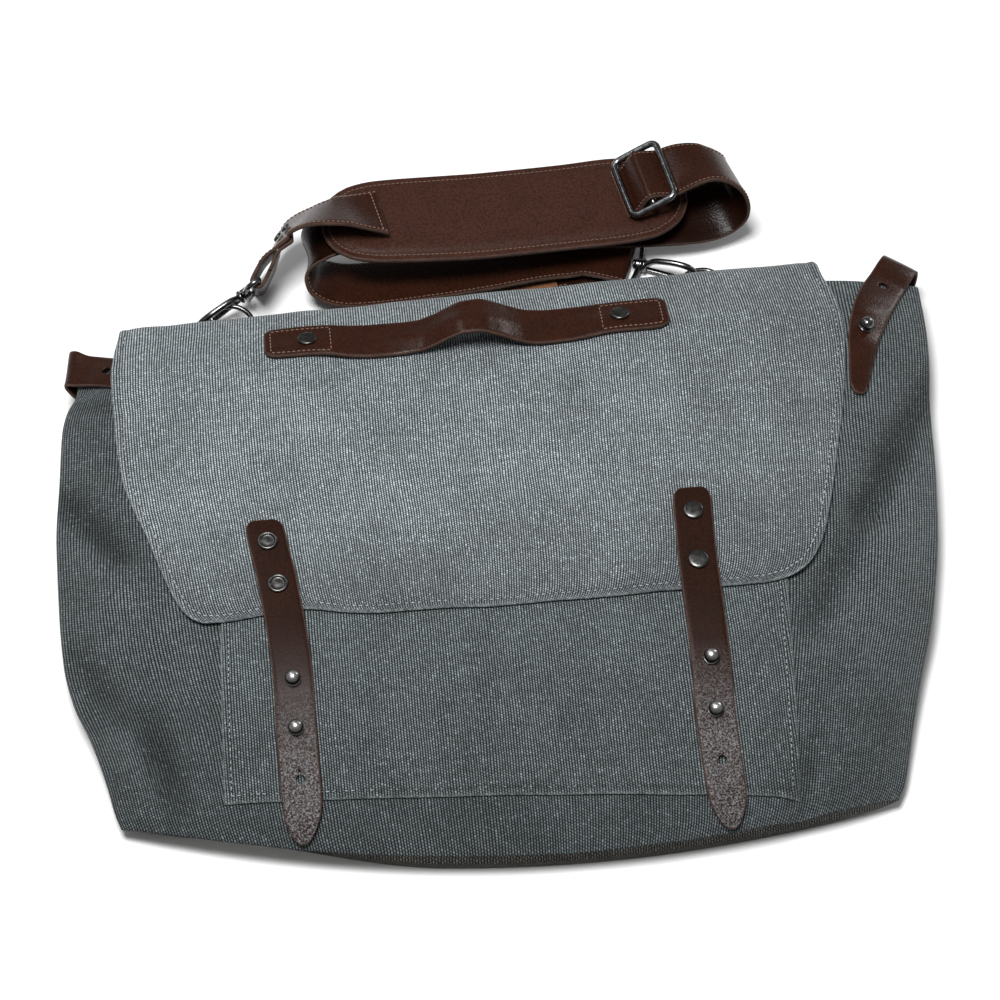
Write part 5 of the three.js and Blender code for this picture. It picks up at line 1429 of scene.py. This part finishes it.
def handle_point(x, u, lift):
    y = handle_y(x) + u * handle_half(x)
    rise = handle_near(x) + (handle_far(x) - handle_near(x)) * (u + 1) / 2
    return stacked(x, y, front_height(x, y) + HANDLE_SEAT + rise + lift)


handle_length = HANDLE["x"][-1] - HANDLE["x"][0]
handle_x = (HANDLE["x"][0] + spread(handle_length, HANDLE_STEP, EDGE_STEPS[:5]))[None]
handle_u = (spread(2 * HANDLE_HALF, COLUMN_STEP) / HANDLE_HALF - 1)[:, None]
handle_middle = handle_point(handle_x, handle_u, HANDLE_THICK / 2)
handle_end = np.minimum(handle_x - HANDLE["x"][0], HANDLE["x"][-1] - handle_x)
handle_edge = np.minimum((1 - np.abs(handle_u)) * handle_half(handle_x), handle_end)
handle_cloth = stacked(handle_u * HANDLE_HALF, handle_x, handle_edge)
handle = plate("carry_handle_leather", handle_middle, HANDLE_THICK / 2, handle_cloth, LEATHER_SET)
stand_for(handle, "carry_handle")
handle_rows = []
for side, (x0, x1) in HANDLE_BOXES.items():
    seams = [(np.full(16, x), np.linspace(-HANDLE_SEAM_END, HANDLE_SEAM_END, 16)) for x in (x0, x1)]
    seams += [(np.linspace(x0, x1, 24), np.full(24, u)) for u in (-HANDLE_SEAM_SIDE, HANDLE_SEAM_SIDE)]
    for x, u in seams:
        path = handle_point(x, u, HANDLE_THICK)
        handle_rows.append((path, front_normal(*path[:, :2].T)))
    spot = HANDLE_RIVETS[side]
    seat = on_front(*spot, HANDLE_SEAT + HANDLE_THICK + SEAT)
    rivet_cap(f"handle_rivet_{side}", seat, front_normal(*spot))
stitches("handle_stitches", handle_rows, THREAD_TAN, "leather", LEATHER_PITCH)

# Side straps
right_line = through(stacked(*SIDE_RIGHT.values()), 8)
right_ahead = unit(np.gradient(right_line[:, :2], axis=0))
right_across = stacked(right_ahead[:, 1], -right_ahead[:, 0])
side_u = (spread(2 * SIDE_STRAP_HALF, COLUMN_STEP) / SIDE_STRAP_HALF - 1)[None]
right_x = right_line[:, 0:1] + side_u * right_line[:, 2:] * right_across[:, 0:1]
right_y = right_line[:, 1:2] + side_u * right_line[:, 2:] * right_across[:, 1:2]
right_front = on_front(right_x, right_y, SIDE_LIFT)
turn_step = np.linspace(0, SIDE_TURN["step"][-1], 41)[1:]
turn_reach, turn_fall = (at(turn_step)[:, None] for at in curves(SIDE_TURN, "step", "reach", "fall"))
rim_row = right_front[-1][None]
right_turn = stacked(
    rim_row[..., 0] + SIDE_RIGHT_HEADING[0] * turn_reach,
    rim_row[..., 1] + SIDE_RIGHT_HEADING[1] * turn_reach,
    rim_row[..., 2] + (SIDE_TURN_Z - rim_row[..., 2]) * turn_fall,
)
right_middle = np.concatenate([right_front, right_turn])


def strap_cloth(middle, half):
    """Cloth places of a strap grid whose rows run along it."""
    line = middle[:, middle.shape[1] // 2]
    length = lengths(line)
    edge = np.minimum((1 - np.abs(side_u)) * half, np.minimum(length, length[-1] - length)[:, None])
    across = np.broadcast_to(side_u * SIDE_STRAP_HALF, edge.shape)
    return stacked(across, length[:, None], edge)


def seat_on_side(spot, lift):
    return on_front(*spot, SIDE_LIFT + SIDE_THICK / 2 + lift)


right_half = np.concatenate([right_line[:, 2], np.full(len(turn_step), right_line[-1, 2])])[:, None]
right_cloth = strap_cloth(right_middle, right_half)
side_right = plate("side_strap_right_leather", right_middle, SIDE_THICK / 2, right_cloth, LEATHER_SET)
stud_axis = front_normal(*SIDE_RIGHT_STUD)
bore(side_right, seat_on_side(SIDE_RIGHT_STUD, 0), stud_axis)
bore(side_right, seat_on_side(SIDE_RIGHT_HOLE, 0), (0, 0, 1))
stand_for(side_right, "side_strap_right")
stud_seat = seat_on_side(SIDE_RIGHT_STUD, SIDE_STUD_SEAT)
ball_stud("side_stud_right", stud_seat, stud_axis, SIDE_STUD_DEPTH, METAL)


def side_left_y(x):
    return SIDE_STRAP_Y + SIDE_LEFT_TILT * (x - SIDE_STRAP_X) + side_u * SIDE_STRAP_HALF


front_x = np.linspace(*SIDE_LEFT_FRONT, 22)[:, None]
left_front = on_front(front_x, side_left_y(front_x), SIDE_LIFT)
turn_step = np.linspace(0, SIDE_LEFT_TURN["step"][-1], 31)
turn_out, turn_above = (at(turn_step)[:, None] for at in curves(SIDE_LEFT_TURN, "step", "out", "above"))
turn_y = side_left_y(SIDE_LEFT_FOLD_X - turn_out)
left_turn = stacked(-left_reach(turn_y) - turn_out, turn_y, left_fold_at(turn_y) + turn_above)
back_x = np.linspace(*SIDE_LEFT_BACK, 12)[:, None]
back_y = side_left_y(back_x)
left_back = stacked(back_x, back_y, back_height(back_x, back_y) - SIDE_UNDER)
left_middle = np.concatenate([left_front, left_turn, left_back])
for _ in range(6):
    left_middle[1:-1] = left_middle[1:-1] / 2 + (left_middle[:-2] + left_middle[2:]) / 4
side_left = plate(
    "side_strap_left_leather",
    left_middle[:, ::-1],
    SIDE_THICK / 2,
    strap_cloth(left_middle, np.full((1, 1), SIDE_STRAP_HALF)),
    LEATHER_SET,
)
hole_y = SIDE_STRAP_Y + SIDE_LEFT_TILT * (SIDE_LEFT_HOLE_X - SIDE_STRAP_X)
bore(side_left, on_front(SIDE_LEFT_HOLE_X, hole_y, SIDE_LIFT), (0, 0, 1))
stand_for(side_left, "side_strap_left")


# Straps of even width
def strap_frames(points, across):
    ahead = unit(np.gradient(points, axis=0))
    across = unit(across - ahead * np.sum(across * ahead, axis=1, keepdims=True))
    return across, np.cross(ahead, across)


def strap_section(half, thick):
    """Rounded cross-section, with the material of each of its sides."""
    corner = min(0.7, thick / 3)
    flat = np.linspace(-(half - corner), half - corner, 9)
    rise = thick / 2
    bend = np.radians([-67, -45, -22, 0, 22, 45, 67])
    right = stacked(half - corner + corner * np.cos(bend), rise * np.sin(bend) * 0.98)
    upper = stacked(flat[::-1], np.full(9, rise))
    left = stacked(-(half - corner + corner * np.cos(bend)), -rise * np.sin(bend) * 0.98)
    lower = stacked(flat, np.full(9, -rise))
    outline = np.concatenate([lower, right, upper, left])
    slots = np.array([1] * 8 + [2] * 8 + [0] * 8 + [2] * 8)
    return outline, slots


def strap(name, points, across, half, thick, materials, flesh_from=None):
    """Strap of even width. From the ring flesh_from on, its rough side shows."""
    across, face = strap_frames(points, across)
    outline, slots = strap_section(half, thick)
    rings = points[:, None] + outline[None, :, :1] * across[:, None] + outline[None, :, 1:] * face[:, None]
    length = lengths(points)
    edge = half - np.abs(outline[:, 0])
    cloth = stacked(outline[None, :, 0], length[:, None], edge[None])
    if flesh_from is not None:
        ring = np.arange(len(points) - 1)[:, None]
        slots = np.where((ring >= flesh_from) & (slots < 2), len(materials) - 1, slots)
    return sweep(name, rings, False, materials, slots, cloth.reshape(-1, 3))


def strap_row(points, across, offset, rise, start=0, stop=None):
    """Stitch path along a strap, on its grain side where rise is positive."""
    across, face = strap_frames(points, across)
    path = points + across * offset + face * rise
    normal = face * np.sign(rise)
    return path[start:stop], normal[start:stop]


# D-rings and their leather tabs
for side, (x, y, z, tip) in RINGS.items():
    tip = radians(tip)
    up = np.array([0, np.cos(tip), np.sin(tip)])
    path = np.array([[x + p, y, z] + up * q for p, q in RING_PATH])
    normal = np.cross((1, 0, 0), up)
    rings = tube_rings(through(path, 8, True), normal, RING_WIRE, True, WIRE_SIDES)
    stand_for(sweep(f"ring_{side}_metal", rings, True, [METAL]), f"ring_{side}")
    stops = [(x, place, z - TAB_WRAP) for place in (*TAB_ROOT_Y, y - 2)]
    for angle in np.radians(TAB_ANGLES):
        stops.append((x, y + TAB_WRAP * np.cos(angle), z + TAB_WRAP * np.sin(angle)))
    line = through(stops, 4)
    across = np.tile((1.0, 0, 0), (len(line), 1))
    tab = strap(f"ring_tab_{side}_leather", line, across, TAB_HALF, TAB_THICK, LEATHER_SET)
    stand_for(tab, f"ring_tab_{side}")

# Snap hooks
def squared(way, axis):
    """Direction turned square to an axis."""
    way = np.array(way, float)
    return unit(way - axis * way.dot(axis))


# Directions of each hook: a along it, b up and n sideways.
hooks = {}
for side, hook in HOOKS.items():
    bar = np.array(hook["bar"], float)
    a = unit(np.array(hook["end"]) - bar)
    b = squared(hook["up"], a)
    n = np.cross(a, b)
    across = squared(hook["across"], a)
    hooks[side] = {"bar": bar, "a": a, "b": b, "across": across}
    path = np.array([bar + a * p + across * q for p, q in LOOP_PATH])
    rings = tube_rings(through(path, 10, True), np.cross(a, across), LOOP_WIRE, True, LOOP_SIDES)
    loop = sweep(f"hook_loop_{side}_wire", rings, True, [METAL])
    boss = sweep(f"hook_boss_{side}", lathe_rings(SWIVEL_BOSS, bar, a, SWIVEL_SIDES), False, [METAL])
    stand_for(joined(f"hook_loop_{side}_metal", loop, boss), f"hook_loop_{side}")
    path = through([bar + a * p + b * q for p, q in CLAW_PATH], 8)
    taper = CLAW_TAPER * smooth(CLAW_TAPER_FROM, 1, np.linspace(0, 1, len(path))) ** 2
    rings = tube_rings(path, n, HOOK_WIRE * (1 - taper), False, WIRE_SIDES)
    claw = sweep(f"hook_claw_{side}", rings, False, [METAL])
    pin = sweep(f"hook_pin_{side}", lathe_rings(SWIVEL_PIN, bar, a, SWIVEL_SIDES), False, [METAL])
    stand_for(joined(f"hook_{side}_metal", claw, pin), f"hook_{side}")
    line = through([bar + a * p + b * q for p, q in GATE_PATH], 8)
    ahead = np.gradient(line, axis=0)
    rise = unit(np.cross(n, ahead))
    angle = np.arange(GATE_SIDES) * tau / GATE_SIDES
    bulge = np.abs(np.cos(angle)) ** 0.5 * np.sign(np.cos(angle))
    wide = GATE_HALF_WIDTH * bulge[None, :, None] * n[None, None]
    deep = GATE_HALF_THICK * np.sin(angle)[None, :, None] * rise[:, None]
    gate = sweep(f"hook_gate_{side}_metal", line[:, None] + wide + deep, False, [METAL], body=f"gate_{side}")
    stand_for(gate, f"hook_gate_{side}")

# Shoulder pad
pad_length = PAD["x"][-1] - PAD["x"][0]
pad_x = (PAD["x"][0] + spread(pad_length, PAD_STEP, EDGE_STEPS))[None]
pad_u = (spread(2 * PAD_GRID_HALF, PAD_STEP, EDGE_STEPS) / PAD_GRID_HALF - 1)[:, None]
pad_middle_y, pad_half, pad_height = curves(PAD, "x", "y", "half", "z")
pad_y = pad_middle_y(pad_x) + pad_u * pad_half(pad_x)
pad_z = np.broadcast_to(pad_height(pad_x), pad_y.shape)
pad_rim_x = np.concatenate([pad_x[0], pad_x[0, ::-1]])
pad_rim = stacked(pad_rim_x, np.concatenate([pad_y[0], pad_y[-1, ::-1]]))
pad_rim = np.concatenate([pad_rim, pad_rim[:1]])
pad_edge = distance_to(pad_rim[::2], np.broadcast_to(pad_x, pad_y.shape), pad_y)
pad_edge[[0, -1], :] = 0
pad_edge[:, [0, -1]] = 0
pad_middle = stacked(pad_x, pad_y, pad_z)
pad_cloth = stacked(pad_x, pad_y, pad_edge)
pad_full = smooth(PAD_SEAM - 1, PAD_SEAM + 7, pad_edge)
pad_thick = PAD_EDGE_HALF_THICK + (PAD_HALF_THICK - PAD_EDGE_HALF_THICK) * pad_full
pad_thick = pad_thick * rounded(pad_edge, EDGE_ROUND)
pad_groove = PAD_GROOVE * bell(pad_edge - PAD_SEAM, PAD_GROOVE_WIDE)
points, sheet, top, below = pillow(pad_middle, pad_thick - pad_groove * (pad_edge > 1), pad_thick, pad_cloth)
pad_looks = [LEATHER_PAD, LEATHER, LEATHER_EDGE]
pad = make("shoulder_pad_leather", points, rim_groups(sheet, top, below, EDGE_ROUND), pad_looks, sheet)
stand_for(pad, "shoulder_pad")
pad_seam = inset_line(pad_rim, PAD_SEAM)
pad_seam_z = pad_height(pad_seam[:, 0]) + PAD_EDGE_HALF_THICK + PAD_THREAD_RISE
pad_path = np.concatenate([pad_seam, pad_seam_z[:, None]], axis=1)
pad_rows = [(pad_path, np.tile((0.0, 0, 1), (len(pad_path), 1)))]
stitches("pad_stitches", pad_rows, THREAD_BROWN, "pad_leather")


# Long strap
def bar_turn(bar, along, face):
    """Half turn of a strap round a hook bar."""
    angle = np.radians((75, 45, 15, -15, -45, -75))[:, None]
    return bar + STRAP_BEND * (along * np.cos(angle) + face * np.sin(angle))


slider_along = unit(SLIDER_ALONG)
slider_across = unit(SLIDER_ACROSS)
slider_normal = unit(np.cross(slider_across, slider_along))
right_hook = hooks["right"]
long_out = through(LONG_ROUTE, 2)
out = len(long_out)
turned = bar_turn(right_hook["bar"], right_hook["a"], right_hook["b"])
long_points = np.concatenate([long_out, turned, through(LONG_RETURN, 2)])
stop = np.arange(len(long_points), dtype=float)
turn = smooth(out - 4, out, stop)
at_hook = turn * (1 - smooth(out + 6, out + 11, stop))
long_across = np.stack([curve(LONG_ACROSS, "stop", axis)(stop) for axis in "xyz"], -1)
long_across[:, 2] *= 1 - turn
long_across += (-right_hook["across"] - long_across) * at_hook[:, None]
long_fine = through(np.concatenate([long_points, long_across], axis=1), STRAP_FINE)
long_points = long_fine[:, :3]
long_across = long_fine[:, 3:]
strap_long = strap(
    "strap_long_leather", long_points, long_across, STRAP_HALF, STRAP_THICK, LONG_SET, (out + 8) * STRAP_FINE
)
stand_for(strap_long, "strap_long")
long_rows = []
for offset in STRAP_SEAMS:
    long_rows.append(strap_row(long_points, long_across, offset, THREAD_RISE, 8))
    long_rows.append(strap_row(long_points, long_across, offset, -THREAD_RISE, out * STRAP_FINE + 30))
stitches("strap_long_stitches", long_rows, THREAD_BROWN, "leather")

# Short strap to the left hook
left_hook = hooks["left"]
tail_rows = stacked(TAIL_ROUTE["x"], TAIL_ROUTE["y"], TAIL_ROUTE["z"])
tail_table = {"row": np.arange(len(tail_rows), dtype=float), "spin": TAIL_ROUTE["spin"]}
tail_middle = through(tail_rows, TAIL_STEPS)
i = np.arange(len(tail_middle), dtype=float)
tail_end = len(tail_middle) - 1
ahead = unit(np.gradient(tail_middle, axis=0))
level = unit(np.cross((0, 0, 1), ahead))
upright = np.cross(ahead, level)
spin = np.radians(curve(tail_table, "row", "spin")(i / TAIL_STEPS))[:, None]
tail_across = level * np.cos(spin) + upright * np.sin(spin)
to_hook = smooth(tail_end - TAIL_TO_HOOK, tail_end - 1, i)[:, None]
tail_across = unit(tail_across + (left_hook["across"] - tail_across) * to_hook)
tail_face = unit(np.cross(ahead, tail_across))
apart = TAIL_APART * smooth(tail_end - TAIL_OPENS, tail_end - TAIL_DOUBLED, i)
tail_shift = (apart + (STRAP_BEND - TAIL_APART) * smooth(tail_end - TAIL_SPREADS, tail_end, i))[:, None]
bar_along = unit(left_hook["bar"] - tail_middle[-1])
bar_face = unit(np.cross(bar_along, left_hook["across"]))
tail_turn = bar_turn(left_hook["bar"], bar_along, bar_face)
inner = (tail_middle - tail_face * tail_shift)[tail_end - TAIL_DOUBLED:][::-1]
tail_points = np.concatenate([tail_middle + tail_face * tail_shift, tail_turn, inner])
turn_across = np.tile(left_hook["across"], (len(tail_turn), 1))
all_across = np.concatenate([tail_across, turn_across, tail_across[tail_end - TAIL_DOUBLED:][::-1]])
tail_fine = through(np.concatenate([tail_points, all_across], axis=1), STRAP_FINE)
tail_line = tail_fine[:, :3]
tail_width = tail_fine[:, 3:]
strap_tail = strap("strap_tail_leather", tail_line, tail_width, STRAP_HALF, STRAP_THICK, LEATHER_SET)
stand_for(strap_tail, "strap_tail")
tail_seams = []
for offset in STRAP_SEAMS:
    tail_seams.append(strap_row(tail_line, tail_width, offset, THREAD_RISE, 0, tail_end * STRAP_FINE))
seam_across, seam_face = (way[TAIL_SEAM_RING] for way in strap_frames(tail_line, tail_width))
seam_place = np.linspace(*STRAP_SEAMS, 18)[:, None]
seam_path = tail_line[TAIL_SEAM_RING] + seam_across * seam_place + seam_face * THREAD_RISE
tail_seams.append((seam_path, np.tile(seam_face, (len(seam_path), 1))))
stitches("strap_tail_stitches", tail_seams, THREAD_TAN, "leather", LEATHER_PITCH)
for level_name, steps in TAIL_RIVETS.items():
    k = tail_end - steps
    raise_by = tail_shift[k] + STRAP_THICK / 2 + TAIL_RIVET_SEAT
    seat = tail_middle[k] + tail_face[k] * raise_by
    rivet_cap(f"tail_rivet_{level_name}", seat, tail_face[k], TAIL_RIVET_RADIUS)

# Slider
slider_path = []
for sx, sy in ((1, -1), (1, 1), (-1, 1), (-1, -1)):
    centre_p = sx * (SLIDER_HALF_ACROSS - SLIDER_CORNER)
    centre_q = sy * (SLIDER_HALF_ALONG - SLIDER_CORNER)
    start = np.arctan2(sy, sx) - tau / 8
    for angle in start + np.linspace(0, tau / 4, 7):
        p = centre_p + SLIDER_CORNER * np.cos(angle)
        q = centre_q + SLIDER_CORNER * np.sin(angle)
        slider_path.append(SLIDER_MIDDLE + slider_across * p + slider_along * q)
slider_path = through(slider_path, 3, True)
frame_rings = tube_rings(slider_path, slider_normal, SLIDER_WIRE, True, WIRE_SIDES)
slider_frame = sweep("slider_frame", frame_rings, True, [METAL])
bar_q = np.linspace(-SLIDER_HALF_ALONG, SLIDER_HALF_ALONG, 9)[:, None]
bar_line = SLIDER_MIDDLE + slider_along * bar_q
bar_rings = tube_rings(bar_line, slider_normal, SLIDER_WIRE, False, WIRE_SIDES)
slider_bar = sweep("slider_bar", bar_rings, False, [METAL])
stand_for(joined("slider_metal", slider_frame, slider_bar), "slider")

# Floor, light and camera
bpy.ops.mesh.primitive_plane_add(size=FLOOR_SIZE, location=(0, 0, FLOOR_Z))
floor = bpy.context.object
floor.name = "floor"
floor.data.materials.append(floor_paint("floor", *FLOOR_TONES))

scene = bpy.context.scene
scene.view_settings.view_transform = "Standard"
world = bpy.data.worlds.new("studio")
world.use_nodes = True
world.node_tree.nodes["Background"].inputs[0].default_value = (1, 1, 1, 1)
world.node_tree.nodes["Background"].inputs[1].default_value = WORLD_LIGHT
scene.world = world

for name, spot, size, power in LIGHTS:
    light = bpy.data.lights.new(name, "AREA")
    light.size = size
    light.energy = power
    holder = bpy.data.objects.new(name, light)
    holder.location = spot
    holder.rotation_euler = (-Vector(spot)).to_track_quat("-Z", "Y").to_euler()
    scene.collection.objects.link(holder)

flat = np.cos(CAMERA_ELEVATION)
back = Vector((np.sin(CAMERA_AZIMUTH) * flat, -np.cos(CAMERA_AZIMUTH) * flat, np.sin(CAMERA_ELEVATION)))
right = Vector((np.cos(CAMERA_AZIMUTH), np.sin(CAMERA_AZIMUTH), 0))
lens = bpy.data.cameras.new("camera")
lens.lens = CAMERA_LENS
lens.sensor_width = SENSOR
camera = bpy.data.objects.new("camera", lens)
turned = Matrix((right, back.cross(right), back)).transposed().to_4x4()
camera.matrix_world = Matrix.Translation(CAMERA_TARGET + back * CAMERA_DISTANCE) @ turned
scene.collection.objects.link(camera)
scene.camera = camera
